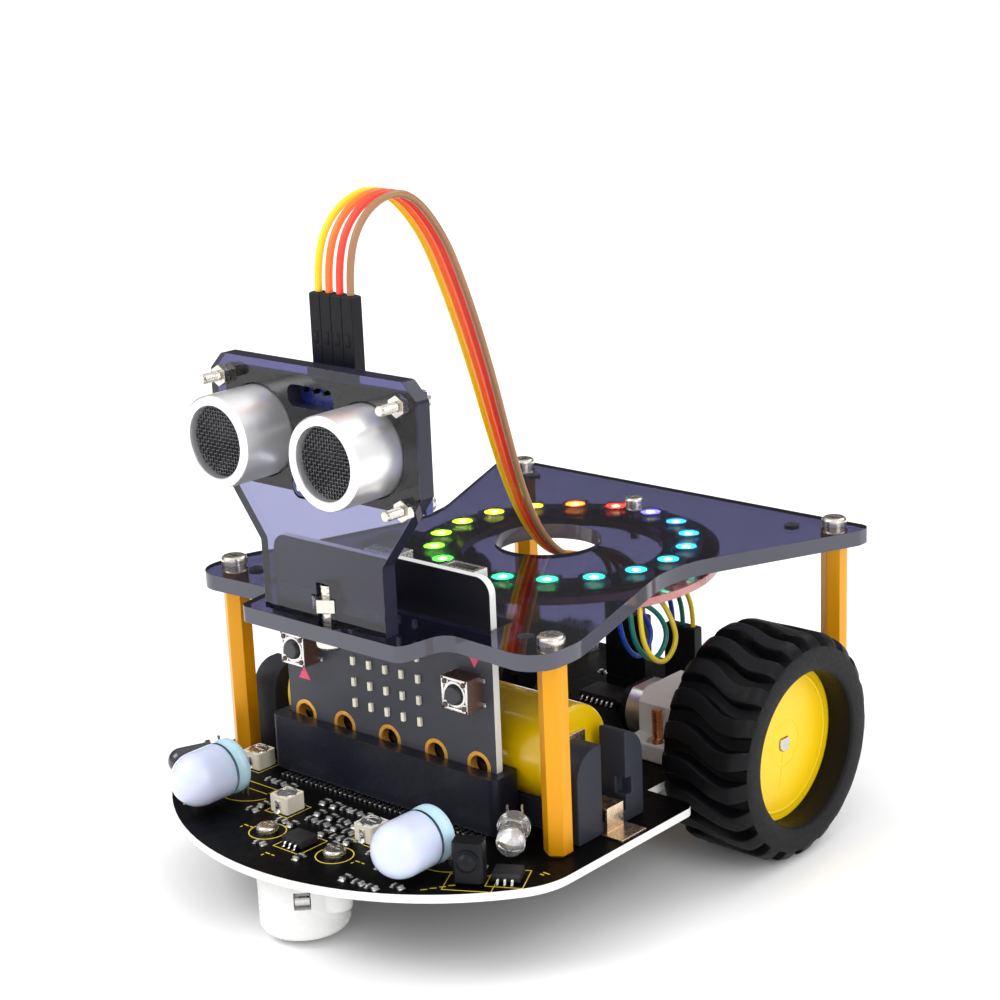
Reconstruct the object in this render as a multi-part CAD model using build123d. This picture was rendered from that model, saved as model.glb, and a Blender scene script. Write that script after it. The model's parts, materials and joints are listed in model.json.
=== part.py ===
"""Two wheel robot car: a controller board on a round-fronted circuit board, under an acrylic deck.

Millimetres. +Z is up and the car drives towards -Y. The origin is on the ground, under the middle of the car.
"""
from build123d import *
import math
import os

# Driving dimensions -----------------------------------------------------------------------------
WHEEL_DIAMETER = 43.0
WHEEL_WIDTH = 19.0
TRACK_OUTSIDE = 109.6
MOTOR_WIDTH = 12.0
MOTOR_HEIGHT = 10.0
AXLE_Y = 26.8

BOARD_THICKNESS = 1.6
BOARD_HALF_LENGTH = 61.2
BOARD_HALF_WIDTH = 46.0
BOARD_FRONT_RADIUS = 54.2
NOTCH_INNER_X = 35.0
NOTCH_FRONT_Y = 4.0
NOTCH_REAR_Y = 50.6

STANDOFF_LENGTH = 35.0
STANDOFF_FLATS = 4.5
FRONT_POST = (39.0, -25.9)
REAR_POST = (40.0, 57.8)

DECK_THICKNESS = 3.0
DECK_HOLE_RADIUS = 10.2
DECK_HOLE_Y = 19.1
RING_Y = 23.25
RING_LED_RADIUS = 24.7
RING_LED_COUNT = 18
RING_FIRST_ANGLE = 3.75

CONTROLLER_WIDTH = 51.6
CONTROLLER_HEIGHT = 42.0
CONTROLLER_FACE_Y = -26.2
CONTROLLER_BOTTOM_Z = 21.2

SONAR_Z = 86.9
SONAR_CAN_SPACING = 26.0
SONAR_CAN_DIAMETER = 16.0
SONAR_CAN_LENGTH = 13.4
BRACKET_FRONT_Y = -40.2
BRACKET_THICKNESS = 3.0

CELL_DIAMETER = 18.3
CELL_LENGTH = 65.0
CELL_Y = -13.1
CELL_Z = 28.6

CASTER_Y = -49.2
CASTER_BALL_DIAMETER = 12.0
CASTER_SCREW_X = 8.4

GEAR_MODULE = 0.2
GEAR_CENTRE_DISTANCE = 3.4

# Worked-out levels and places --------------------------------------------------------------------
WHEEL_RADIUS = WHEEL_DIAMETER / 2
AXLE_Z = WHEEL_RADIUS
BOARD_TOP = AXLE_Z - MOTOR_HEIGHT / 2
BOARD_BOTTOM = BOARD_TOP - BOARD_THICKNESS
DECK_BOTTOM = BOARD_TOP + STANDOFF_LENGTH
DECK_TOP = DECK_BOTTOM + DECK_THICKNESS
WHEEL_OUTER_X = TRACK_OUTSIDE / 2
WHEEL_INNER_X = WHEEL_OUTER_X - WHEEL_WIDTH
CONTROLLER_BACK_Y = CONTROLLER_FACE_Y + BOARD_THICKNESS
CONTROLLER_TOP_Z = CONTROLLER_BOTTOM_Z + CONTROLLER_HEIGHT
BRACKET_BACK_Y = BRACKET_FRONT_Y + BRACKET_THICKNESS
SONAR_BOARD_BACK_Y = BRACKET_BACK_Y + BOARD_THICKNESS

POSTS = [(side * x, y) for x, y in (FRONT_POST, REAR_POST) for side in (-1, 1)]
SONAR_SCREWS = [(side * 21.25, SONAR_Z + rise) for rise in (-8.75, 8.75) for side in (-1, 1)]
MOTOR_FOOT_OFFSET = 9.8
FOOT_SCREWS = [(side * 27.4, AXLE_Y + step) for side in (-1, 1) for step in (-MOTOR_FOOT_OFFSET, MOTOR_FOOT_OFFSET)]
TRIMMERS = {"left": (-32.2, -29.3), "middle": (-12.6, -40.4), "right": (8.7, -40.4)}

M3_HOLE = 1.6
M2_HOLE = 1.1
SONAR_HOLE = 0.9


# Helpers ------------------------------------------------------------------------------------------
def block(x0, x1, y0, y1, z0, z1):
    """A box from its two corners."""
    return Pos((x0 + x1) / 2, (y0 + y1) / 2, (z0 + z1) / 2) * Box(x1 - x0, y1 - y0, z1 - z0)


def upright(radius, x, y, z0, z1):
    """A vertical cylinder between two heights."""
    return Pos(x, y, (z0 + z1) / 2) * Cylinder(radius, z1 - z0)


def across(radius, x0, x1, y, z):
    """A cylinder along X."""
    return Pos((x0 + x1) / 2, y, z) * Rot(0, 90, 0) * Cylinder(radius, abs(x1 - x0))


def forward(radius, x, y0, y1, z):
    """A cylinder along Y."""
    return Pos(x, (y0 + y1) / 2, z) * Rot(90, 0, 0) * Cylinder(radius, abs(y1 - y0))


def slab(outline, z0, z1):
    """A horizontal plate cut to an outline."""
    return extrude(Plane.XY.offset(z0) * outline, amount=z1 - z0)


def hexagon(flats):
    """A hexagon with two of its flats square to X."""
    return Rot(0, 0, 30) * RegularPolygon(flats / math.sqrt(3), 6)


def both_sides(part):
    """The part and its mirror image on the other side of the car."""
    return [part, mirror(part, about=Plane.YZ)]


def save(name, *shapes):
    """Write one node: every solid of the shapes given."""
    solids = [solid for shape in shapes for solid in shape.solids()]
    node = solids[0] if len(solids) == 1 else Compound(solids)
    export_step(node, os.path.join("parts", name + ".step"))


def pan_screw(head_radius, head_height, shank_radius, shank_length):
    """A pan head screw that hangs down from Z = 0, with a cross recess in its head."""
    head = Pos(0, 0, head_height / 2) * Cylinder(head_radius, head_height)
    head = fillet(head.edges().group_by(Axis.Z)[-1], head_height * 0.45)
    recess_depth = head_height * 0.5
    for turn in (0, 90):
        recess = Box(head_radius * 1.1, head_radius * 0.22, recess_depth * 2)
        head -= Pos(0, 0, head_height) * Rot(0, 0, turn) * recess
    return head + Pos(0, 0, -shank_length / 2) * Cylinder(shank_radius, shank_length)


def hex_nut(flats, height, bore_radius):
    """A nut that stands on Z = 0."""
    return extrude(hexagon(flats) - Circle(bore_radius), amount=height)


# Base board ---------------------------------------------------------------------------------------
def base_outline():
    """Round front, straight flanks, and a notch for each wheel."""
    front = Pos(0, BOARD_FRONT_RADIUS - BOARD_HALF_LENGTH) * Circle(BOARD_FRONT_RADIUS)
    nose = front & Pos(0, (NOTCH_FRONT_Y - BOARD_HALF_LENGTH) / 2) * Rectangle(
        2 * BOARD_HALF_WIDTH, BOARD_HALF_LENGTH + NOTCH_FRONT_Y)
    nose = fillet(nose.vertices().group_by(Axis.Y)[0], 14.0)
    nose = fillet(nose.vertices().group_by(Axis.Y)[-1], 2.5)
    waist_length = NOTCH_REAR_Y - NOTCH_FRONT_Y + 2.0
    waist = Pos(0, (NOTCH_FRONT_Y + NOTCH_REAR_Y) / 2) * Rectangle(2 * NOTCH_INNER_X, waist_length)
    tail_length = BOARD_HALF_LENGTH - NOTCH_REAR_Y
    tail = Pos(0, NOTCH_REAR_Y + tail_length / 2) * RectangleRounded(2 * BOARD_HALF_WIDTH, tail_length, 3.0)
    return nose + waist + tail


def make_base_board():
    board = slab(base_outline(), BOARD_BOTTOM, BOARD_TOP)
    for x, y in POSTS:
        board -= upright(M3_HOLE, x, y, BOARD_BOTTOM, BOARD_TOP)
    for side in (-1, 1):
        board -= upright(M2_HOLE, side * CASTER_SCREW_X, CASTER_Y, BOARD_BOTTOM, BOARD_TOP)
    for x, y in FOOT_SCREWS:
        board -= upright(M2_HOLE, x, y, BOARD_BOTTOM, BOARD_TOP)
    save("base_board", board)


# Chips and resistors on the base board ------------------------------------------------------------
CHIP_PLACES = [(0.0, -49.3, 0, 4.9, 3.9), (38.6, -38.4, 28, 4.9, 3.9), (0.0, 36.0, 0, 9.8, 6.2),
               (-16.0, 2.5, 0, 3.0, 3.0)]
RESISTOR_ROWS = [(-6.2, -38.6, 4), (-5.4, -41.4, 4), (0.6, -44.2, 3), (14.6, -40.0, 2), (-31.5, -48.0, 2),
                 (16.5, -54.6, 3), (26.0, -51.9, 1), (8.0, 6.0, 5), (-12.0, 9.0, 5), (-10.0, 47.0, 5)]
RESISTOR_PITCH = 3.1


def make_surface_parts():
    """Chips with gull-wing legs, and rows of chip resistors soldered beside them."""
    solids = []
    for x, y, turn, length, depth in CHIP_PLACES:
        chip = Pos(0, 0, 0.95) * Box(length, depth, 1.5)
        pins = int(length / 1.27)
        for row in (-1, 1):
            for pin in range(pins):
                along = (pin - (pins - 1) / 2) * 1.27
                chip += Pos(along, row * (depth / 2 + 0.4), 0.3) * Box(0.42, 1.2, 0.6)
        solids.append(Pos(x, y, BOARD_TOP) * Rot(0, 0, turn) * chip)
    for x, y, count in RESISTOR_ROWS:
        for step in range(count):
            solids.append(Pos(x + step * RESISTOR_PITCH, y, BOARD_TOP + 0.275) * Box(2.0, 1.2, 0.55))
    save("surface_parts", *solids)


# Edge connector -----------------------------------------------------------------------------------
CONNECTOR_LENGTH = 56.0
CONNECTOR_FRONT_Y = CONTROLLER_FACE_Y - 3.2
CONNECTOR_BACK_Y = CONTROLLER_BACK_Y + 2.1
CONNECTOR_LIFT = 1.0
CONNECTOR_TOP_Z = 28.0
CONTACT_COUNT = 40
CONTACT_PITCH = 1.27


def make_edge_connector():
    half = CONNECTOR_LENGTH / 2
    body = block(-half, half, CONNECTOR_FRONT_Y, CONNECTOR_BACK_Y, BOARD_TOP + CONNECTOR_LIFT, CONNECTOR_TOP_Z)
    body = fillet(body.edges().filter_by(Axis.Z), 1.6)
    slot_half = CONTROLLER_WIDTH / 2 + 0.2
    body -= block(-slot_half, slot_half, CONTROLLER_FACE_Y - 0.35, CONTROLLER_BACK_Y + 0.35,
                  CONTROLLER_BOTTOM_Z, CONNECTOR_TOP_Z)
    for end in (-1, 1):
        body += upright(1.2, end * (half - 3.0), (CONNECTOR_FRONT_Y + CONNECTOR_BACK_Y) / 2,
                        BOARD_TOP, BOARD_TOP + CONNECTOR_LIFT)
    save("edge_connector", body)


def make_edge_contacts():
    """Two rows of solder feet, each turned out from under the housing."""
    feet = []
    for index in range(CONTACT_COUNT):
        x = (index - (CONTACT_COUNT - 1) / 2) * CONTACT_PITCH
        front = block(x - 0.25, x + 0.25, CONNECTOR_FRONT_Y - 1.0, CONNECTOR_FRONT_Y + 1.6, BOARD_TOP, BOARD_TOP + 0.4)
        front += block(x - 0.25, x + 0.25, CONNECTOR_FRONT_Y + 1.2, CONNECTOR_FRONT_Y + 1.6, BOARD_TOP,
                       BOARD_TOP + CONNECTOR_LIFT)
        feet.append(front)
        back = block(x - 0.25, x + 0.25, CONNECTOR_BACK_Y - 1.6, CONNECTOR_BACK_Y - 0.2, BOARD_TOP,
                     BOARD_TOP + CONNECTOR_LIFT)
        feet.append(back)
    save("edge_contacts", *feet)


# Battery ------------------------------------------------------------------------------------------
HOLDER_HALF_LENGTH = 40.5
HOLDER_BLOCK_INNER_X = 34.6
HOLDER_FLOOR = 2.2
HOLDER_WALL_TOP = 23.0
HOLDER_BLOCK_TOP = 33.3
HOLDER_BLOCK_HALF_DEPTH = 9.0
HOLDER_TUB_HALF_DEPTH = 7.3
CONTACT_SLOT_HALF = 2.4
CONTACT_SLOT_REAR = 4.1


def make_battery_holder():
    tub = block(-HOLDER_BLOCK_INNER_X, HOLDER_BLOCK_INNER_X, CELL_Y - HOLDER_TUB_HALF_DEPTH,
                CELL_Y + HOLDER_TUB_HALF_DEPTH, BOARD_TOP, HOLDER_WALL_TOP)
    tub -= across(CELL_DIAMETER / 2 + 0.3, -HOLDER_BLOCK_INNER_X, HOLDER_BLOCK_INNER_X, CELL_Y, CELL_Z)
    end = block(HOLDER_BLOCK_INNER_X, HOLDER_HALF_LENGTH, CELL_Y - HOLDER_BLOCK_HALF_DEPTH,
                CELL_Y + HOLDER_BLOCK_HALF_DEPTH, BOARD_TOP, HOLDER_BLOCK_TOP)
    top_edges = end.edges().filter_by(Axis.X).group_by(Axis.Z)[-1]
    end = fillet(top_edges, 5.0)
    end -= block(HOLDER_BLOCK_INNER_X, HOLDER_HALF_LENGTH, CELL_Y - CONTACT_SLOT_HALF, CELL_Y + CONTACT_SLOT_REAR,
                 BOARD_TOP + HOLDER_FLOOR, HOLDER_BLOCK_TOP)
    end -= block(HOLDER_HALF_LENGTH - 2.4, HOLDER_HALF_LENGTH, CELL_Y + CONTACT_SLOT_REAR,
                 CELL_Y + CONTACT_SLOT_REAR + 1.6, 21.5, 24.6)
    body = tub + end + mirror(end, about=Plane.YZ)
    save("battery_holder", body)


def make_battery_contacts():
    """A sprung plate against each end of the cell, with a solder tab outside the holder."""
    gap = 0.15
    plate_x = CELL_LENGTH / 2 + 0.1
    half = CONTACT_SLOT_HALF - gap
    plate = block(plate_x, plate_x + 0.5, CELL_Y - half, CELL_Y + half, BOARD_TOP + HOLDER_FLOOR + 2.0, 33.0)
    floor_z = BOARD_TOP + HOLDER_FLOOR + gap
    lead = block(plate_x, HOLDER_HALF_LENGTH + 0.8, CELL_Y - half, CELL_Y + half, floor_z + 2.0, floor_z + 2.5)
    drop_x = HOLDER_HALF_LENGTH + 0.3
    drop = block(drop_x, drop_x + 0.5, CELL_Y - half, CELL_Y + half, BOARD_TOP, floor_z + 2.5)
    tab = block(drop_x, drop_x + 4.6, CELL_Y - 3.4, CELL_Y + 3.4, BOARD_TOP, BOARD_TOP + 0.4)
    save("battery_contacts", *both_sides(plate + lead + drop + tab))


def make_battery_cell():
    half = CELL_LENGTH / 2
    radius = CELL_DIAMETER / 2
    body = across(radius, -half + 1.2, half, CELL_Y, CELL_Z)
    body = fillet(body.edges().filter_by(GeomType.CIRCLE), 0.8)
    cap = across(3.6, -half, -half + 1.3, CELL_Y, CELL_Z)
    save("battery_cell", body + cap)



# Lamps and sensors ---------------------------------------------------------------------------------
HEADLIGHT_X = 25.2
HEADLIGHT_Z = 22.6
HEADLIGHT_BACK_Y = -41.8
HEADLIGHT_RADIUS = 5.0


def make_headlights():
    """Milky 10 mm lamps that lie on the board and face forwards."""
    dome_y = HEADLIGHT_BACK_Y - 8.2
    lamp = forward(HEADLIGHT_RADIUS + 0.6, HEADLIGHT_X, HEADLIGHT_BACK_Y - 1.4, HEADLIGHT_BACK_Y, HEADLIGHT_Z)
    lamp += forward(HEADLIGHT_RADIUS, HEADLIGHT_X, dome_y, HEADLIGHT_BACK_Y, HEADLIGHT_Z)
    lamp += Pos(HEADLIGHT_X, dome_y, HEADLIGHT_Z) * Sphere(HEADLIGHT_RADIUS)
    for step in (-1.9, -0.6, 0.6, 1.9):
        x = HEADLIGHT_X + step
        lamp += forward(0.25, x, HEADLIGHT_BACK_Y, HEADLIGHT_BACK_Y + 1.3, HEADLIGHT_Z - 3.0)
        lamp += upright(0.25, x, HEADLIGHT_BACK_Y + 1.3, BOARD_TOP, HEADLIGHT_Z - 2.75)
    save("headlights", *both_sides(lamp))


def infrared_receiver():
    """A square moulded receiver that stands on three legs and looks ahead and outwards."""
    body = Pos(0, 0, 4.3) * Box(5.2, 3.6, 7.2)
    body = chamfer(body.edges().filter_by(Axis.Z), 0.5)
    body += Pos(0, -1.8, 4.6) * Rot(90, 0, 0) * Cylinder(2.1, 0.6)
    body += Pos(0, -1.6, 4.6) * Sphere(1.9)
    for step in (-1.8, 0.0, 1.8):
        body += Pos(step, 0, 0.4) * Box(0.6, 0.5, 0.8)
    return Pos(34.6, -43.4, BOARD_TOP) * Rot(0, 0, 28) * body


def make_infrared_parts():
    """The receiver, and a small 5 mm lamp beside each headlight: clear on one side, dark on the other."""
    lamp = Cylinder(2.5, 5.0) + Pos(0, 0, 2.5) * Sphere(2.5) + Pos(0, 0, -2.9) * Cylinder(2.9, 1.0)
    for step in (-1.27, 1.27):
        lamp += Pos(step, 0, -4.2) * Box(0.5, 0.5, 1.8)
        lamp += Pos(step, 1.4, -4.85) * Box(0.5, 3.3, 0.5)
    clear = Pos(34.6, -32.6, BOARD_TOP + 4.7) * Rot(0, 0, 35) * Rot(95, 0, 0) * lamp
    dark = Pos(-38.0, -40.0, BOARD_TOP + 3.6) * Rot(0, 0, -35) * Rot(95, 0, 0) * lamp
    save("infrared_parts", infrared_receiver(), clear, dark)


# Trimmers ------------------------------------------------------------------------------------------
TRIMMER_SIZE = 4.5
TRIMMER_HEIGHT = 3.2
ROTOR_RADIUS = 1.5
ROTOR_DEPTH = 1.0


def make_trimmers():
    bodies = []
    for name, (x, y) in TRIMMERS.items():
        body = Pos(0, 0, TRIMMER_HEIGHT / 2) * Box(TRIMMER_SIZE, TRIMMER_SIZE, TRIMMER_HEIGHT)
        body = chamfer(body.edges().filter_by(Axis.Z), 0.3)
        body -= Pos(0, 0, TRIMMER_HEIGHT - ROTOR_DEPTH / 2) * Cylinder(ROTOR_RADIUS + 0.05, ROTOR_DEPTH)
        bodies.append(Pos(x, y, BOARD_TOP) * body)
        rotor = Pos(0, 0, TRIMMER_HEIGHT - ROTOR_DEPTH / 2 + 0.1) * Cylinder(ROTOR_RADIUS, ROTOR_DEPTH - 0.1)
        rotor -= Pos(0, 0, TRIMMER_HEIGHT) * Box(2.2, 0.45, 0.8)
        save("trimmer_rotor_" + name, Pos(x, y, BOARD_TOP) * rotor)
    save("trimmer_bodies", *bodies)


# Power switch --------------------------------------------------------------------------------------
SWITCH_X = -24.0
SWITCH_Y = 55.5
SWITCH_TRAVEL = 2.0


def make_power_switch():
    """A slide switch at the back edge; its lever moves sideways in a slot."""
    body = block(SWITCH_X - 4.3, SWITCH_X + 4.3, SWITCH_Y - 1.9, SWITCH_Y + 1.9, BOARD_TOP, BOARD_TOP + 3.6)
    slot = block(SWITCH_X - 2.2, SWITCH_X + 2.2, SWITCH_Y + 0.4, SWITCH_Y + 1.9, BOARD_TOP + 0.8, BOARD_TOP + 2.9)
    save("power_switch_body", body - slot)
    x = SWITCH_X - SWITCH_TRAVEL / 2
    lever = block(x - 1.0, x + 1.0, SWITCH_Y + 0.6, SWITCH_Y + 5.2, BOARD_TOP + 1.0, BOARD_TOP + 2.7)
    save("power_switch_lever", fillet(lever.edges().group_by(Axis.Y)[-1], 0.4))


# Ball caster ---------------------------------------------------------------------------------------
CASTER_BODY_RADIUS = 8.0
CASTER_RIM_Z = 1.2
CASTER_RIM_ROUNDING = 1.6
CASTER_BALL_Z = CASTER_BALL_DIAMETER / 2
ROLLER_RADIUS = 1.3
ROLLER_LENGTH = 2.6
WINDOW_ANGLES = (-45, 75, 195)


def make_caster():
    ball_radius = CASTER_BALL_DIAMETER / 2
    body = upright(CASTER_BODY_RADIUS, 0, CASTER_Y, CASTER_RIM_Z, BOARD_BOTTOM)
    body = fillet(body.edges().filter_by(GeomType.CIRCLE).group_by(Axis.Z)[0], CASTER_RIM_ROUNDING)
    for side in (-1, 1):
        body += upright(2.6, side * CASTER_SCREW_X, CASTER_Y, 7.0, BOARD_BOTTOM)
    body -= Pos(0, CASTER_Y, CASTER_BALL_Z) * Sphere(ball_radius + 0.4)
    body -= upright(5.15, 0, CASTER_Y, 0, CASTER_BALL_Z)
    for side in (-1, 1):
        body -= upright(0.95, side * CASTER_SCREW_X, CASTER_Y, BOARD_BOTTOM - 5.0, BOARD_BOTTOM)
    rollers = []
    roller_offset = ball_radius + ROLLER_RADIUS + 0.1
    for angle in WINDOW_ANGLES:
        place = Pos(0, CASTER_Y, 0) * Rot(0, 0, angle)
        body -= place * Pos(roller_offset, 0, CASTER_BALL_Z + 3.2) * Box(4.6, ROLLER_LENGTH + 0.3, 3.2)
        lift = CASTER_BALL_Z + 3.2
        reach = math.sqrt((ball_radius + ROLLER_RADIUS + 0.15) ** 2 - 3.2 ** 2)
        roller = place * Pos(reach, 0, lift) * Rot(90, 0, 0) * Cylinder(ROLLER_RADIUS, ROLLER_LENGTH)
        rollers.append(roller)
    save("caster_housing", body)
    save("caster_rollers", *rollers)
    save("caster_ball", Pos(0, CASTER_Y, CASTER_BALL_Z) * Sphere(ball_radius))


def make_base_fasteners():
    """Caster screws from above; motor bracket screws from below, with their nuts."""
    pieces = []
    for side in (-1, 1):
        pieces.append(Pos(side * CASTER_SCREW_X, CASTER_Y, BOARD_TOP) * pan_screw(2.0, 1.4, 0.95, 6.0))
    for x, y in FOOT_SCREWS:
        pieces.append(Pos(x, y, BOARD_BOTTOM) * Rot(180, 0, 0) * pan_screw(1.9, 1.3, 0.95, 11.4))
        pieces.append(Pos(x, y, FOOT_TOP - NUT_POCKET_DEPTH) * Rot(0, 0, 30) * hex_nut(4.0, 1.5, 1.0))
    save("base_fasteners", *pieces)


# Motors --------------------------------------------------------------------------------------------
CAN_INNER_X = 16.5
CAN_LENGTH = 15.0
CAN_OUTER_X = CAN_INNER_X + CAN_LENGTH
GEARBOX_LENGTH = 9.0
GEARBOX_FACE_X = CAN_OUTER_X + GEARBOX_LENGTH
SHAFT_LENGTH = 9.2
SHAFT_RADIUS = 1.5
SHAFT_FLAT = 1.0
MOTOR_SHAFT_RADIUS = 0.5
PIN_RADIUS = 0.4
BRACKET_INNER_X = 21.4
BRACKET_OUTER_X = 33.4
FOOT_TOP = BOARD_TOP + 3.6
NUT_POCKET_DEPTH = 1.6
PINION_TEETH = 9
LAST_PINION_TEETH = 10
WHEEL_TEETH = 25
OUTPUT_TEETH = 24
COUNTER_ANGLE = 40.0


def can_section(shrink=0.0):
    """A 12 mm circle with its top and bottom flattened to the motor's height."""
    width = MOTOR_WIDTH - 2 * shrink
    return Circle(width / 2) & Rectangle(width, MOTOR_HEIGHT - 2 * shrink)


def along_axle(sketch, x0, x1, y=AXLE_Y, z=AXLE_Z):
    """Extrude a sketch along X: its own X is the car's Y, and its own Y is up."""
    plane = Plane(origin=(x0, y, z), x_dir=(0, 1, 0), z_dir=(1, 0, 0))
    return extrude(plane * sketch, amount=x1 - x0)


def gear_sketch(teeth, tooth_angle, bore):
    """A spur gear's outline, with a tooth centred on tooth_angle degrees."""
    pitch_radius = GEAR_MODULE * teeth / 2
    root = pitch_radius - 1.25 * GEAR_MODULE
    tip = pitch_radius + 0.8 * GEAR_MODULE
    pitch = 360.0 / teeth
    points = []
    for tooth in range(teeth):
        centre = tooth_angle + tooth * pitch
        corners = ((root, -0.31), (tip, -0.10), (tip, 0.10), (root, 0.31))
        for radius, part_of_pitch in corners:
            angle = math.radians(centre + part_of_pitch * pitch)
            points.append((radius * math.cos(angle), radius * math.sin(angle)))
    outline = make_face(Polyline(points, close=True))
    return outline - Circle(bore) if bore else outline


def counter_axis():
    """Where the second gear axis lies, beside the output shaft's axis."""
    angle = math.radians(COUNTER_ANGLE)
    return AXLE_Y + GEAR_CENTRE_DISTANCE * math.cos(angle), AXLE_Z + GEAR_CENTRE_DISTANCE * math.sin(angle)


def central_gear(teeth, x0, x1, bore):
    """A gear on the output axis, with a tooth pointing at the second axis."""
    return along_axle(gear_sketch(teeth, COUNTER_ANGLE, bore), x0, x1)


def counter_gear(teeth, x0, x1, bore):
    """A gear on the second axis, with a gap facing the output axis."""
    y, z = counter_axis()
    return along_axle(gear_sketch(teeth, COUNTER_ANGLE + 180 + 180 / teeth, bore), x0, x1, y, z)


def make_motor_shells():
    body = along_axle(can_section(), CAN_INNER_X, CAN_OUTER_X)
    can = body - along_axle(can_section(0.5), CAN_INNER_X, CAN_OUTER_X - 0.6)
    can -= across(0.9, CAN_OUTER_X - 1, CAN_OUTER_X, AXLE_Y, AXLE_Z)
    ring = Circle(5.45) - Circle(4.55)
    pieces = [can]
    for side in (-1, 1):
        half = ring & Pos(side * 4.0, 0) * Rectangle(5.0, 6.0)
        pieces.append(along_axle(half, CAN_INNER_X + 2.5, CAN_OUTER_X - 1.5))
    shells = [mate for piece in pieces for mate in both_sides(piece)]
    save("motor_cans", *shells)

    cap = along_axle(can_section(0.25), CAN_INNER_X - 1.4, CAN_INNER_X)
    cap += along_axle(can_section(0.6), CAN_INNER_X, CAN_INNER_X + 1.4)
    cap += across(2.2, CAN_INNER_X - 2.2, CAN_INNER_X, AXLE_Y, AXLE_Z)
    cap -= across(MOTOR_SHAFT_RADIUS + 0.06, CAN_INNER_X - 1.6, CAN_INNER_X + 1.4, AXLE_Y, AXLE_Z)
    for step in (-3.6, 3.6):
        cap += block(CAN_INNER_X - 3.6, CAN_INNER_X - 1.4, AXLE_Y + step - 0.9, AXLE_Y + step + 0.9,
                     AXLE_Z + 1.2, AXLE_Z + 1.5)
    save("motor_end_caps", *both_sides(cap))


def make_motor_brackets():
    """A white moulding that straps each motor down to the board."""
    half_body = MOTOR_WIDTH / 2 + 1.7
    roof = AXLE_Z + MOTOR_HEIGHT / 2 + 1.7
    shell = Pos(0, (roof + BOARD_TOP) / 2 - AXLE_Z) * Rectangle(2 * half_body, roof - BOARD_TOP)
    shell = chamfer(shell.vertices().group_by(Axis.Y)[-1], 2.2)
    foot = Pos(0, (FOOT_TOP + BOARD_TOP) / 2 - AXLE_Z) * RectangleRounded(2 * (MOTOR_FOOT_OFFSET + 2.5),
                                                                       FOOT_TOP - BOARD_TOP, 0.5)
    inside = Rectangle(MOTOR_WIDTH + 0.1, MOTOR_HEIGHT + 0.1)
    section = shell + foot - inside - Pos(0, -MOTOR_HEIGHT / 2) * Rectangle(MOTOR_WIDTH + 0.1, 1.0)
    bracket = along_axle(section, BRACKET_INNER_X, BRACKET_OUTER_X)
    for step in (-MOTOR_FOOT_OFFSET, MOTOR_FOOT_OFFSET):
        bracket -= upright(M2_HOLE, 27.4, AXLE_Y + step, BOARD_TOP, FOOT_TOP)
        pocket = extrude(Rot(0, 0, 30) * hexagon(4.1), amount=NUT_POCKET_DEPTH)
        bracket -= Pos(27.4, AXLE_Y + step, FOOT_TOP - NUT_POCKET_DEPTH) * pocket
    save("motor_brackets", *both_sides(bracket))


def make_gearbox_frames():
    """Two brass plates held apart by three posts, with a fixed pin for the second axis."""
    y, z = counter_axis()
    plate = Rectangle(MOTOR_WIDTH, MOTOR_HEIGHT)
    plate = fillet(plate.vertices(), 1.0)
    back = along_axle(plate - Circle(0.8), CAN_OUTER_X, CAN_OUTER_X + 0.7)
    front = along_axle(plate - Circle(SHAFT_RADIUS + 0.06), GEARBOX_FACE_X - 0.9, GEARBOX_FACE_X)
    frame = back + front + across(PIN_RADIUS, CAN_OUTER_X, GEARBOX_FACE_X, y, z)
    for step_y, step_z in ((-5.0, -4.0), (-5.0, 4.0), (5.0, -4.0)):
        frame += across(0.7, CAN_OUTER_X, GEARBOX_FACE_X, AXLE_Y + step_y, AXLE_Z + step_z)
    save("gearbox_frames", *both_sides(frame))


def save_sides(name, part):
    """Write the same part as two nodes, one for each side of the car."""
    save(name + "_right", part)
    save(name + "_left", mirror(part, about=Plane.YZ))


def make_gear_train():
    """Rotor, three double gears and output shaft: four meshes between the motor and the wheel."""
    x = CAN_OUTER_X
    bore = PIN_RADIUS + 0.06
    rotor = across(MOTOR_SHAFT_RADIUS, CAN_INNER_X - 1.4, x + 1.2, AXLE_Y, AXLE_Z)
    rotor += across(3.9, CAN_INNER_X + 3.2, x - 2.2, AXLE_Y, AXLE_Z)
    rotor += central_gear(PINION_TEETH, x + 1.0, x + 2.7, 0)
    save_sides("motor_rotor", rotor)

    first = counter_gear(WHEEL_TEETH, x + 1.4, x + 2.3, bore)
    first += counter_gear(PINION_TEETH, x + 2.3, x + 4.3, bore)
    save_sides("double_gear_1", first)

    second = central_gear(WHEEL_TEETH, x + 3.1, x + 4.0, bore)
    second += central_gear(PINION_TEETH, x + 4.0, x + 5.9, bore)
    save_sides("double_gear_2", second)

    third = counter_gear(WHEEL_TEETH, x + 4.7, x + 5.6, bore)
    third += counter_gear(LAST_PINION_TEETH, x + 5.6, x + 7.8, bore)
    save_sides("double_gear_3", third)

    output = central_gear(OUTPUT_TEETH, x + 6.5, x + 7.7, 0)
    output += across(PIN_RADIUS, x + 2.95, x + 6.6, AXLE_Y, AXLE_Z)
    output += across(SHAFT_RADIUS, x + 7.6, GEARBOX_FACE_X, AXLE_Y, AXLE_Z)
    output += along_axle(shaft_section(0.0), GEARBOX_FACE_X, GEARBOX_FACE_X + SHAFT_LENGTH)
    save_sides("output_shaft", output)


def shaft_section(gap):
    """The D-shaped end of the output shaft, or with a gap the hole that fits it."""
    radius = SHAFT_RADIUS + gap
    return Circle(radius) & Pos(0, SHAFT_FLAT - radius + gap) * Rectangle(4 * radius, 2 * radius)


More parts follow.
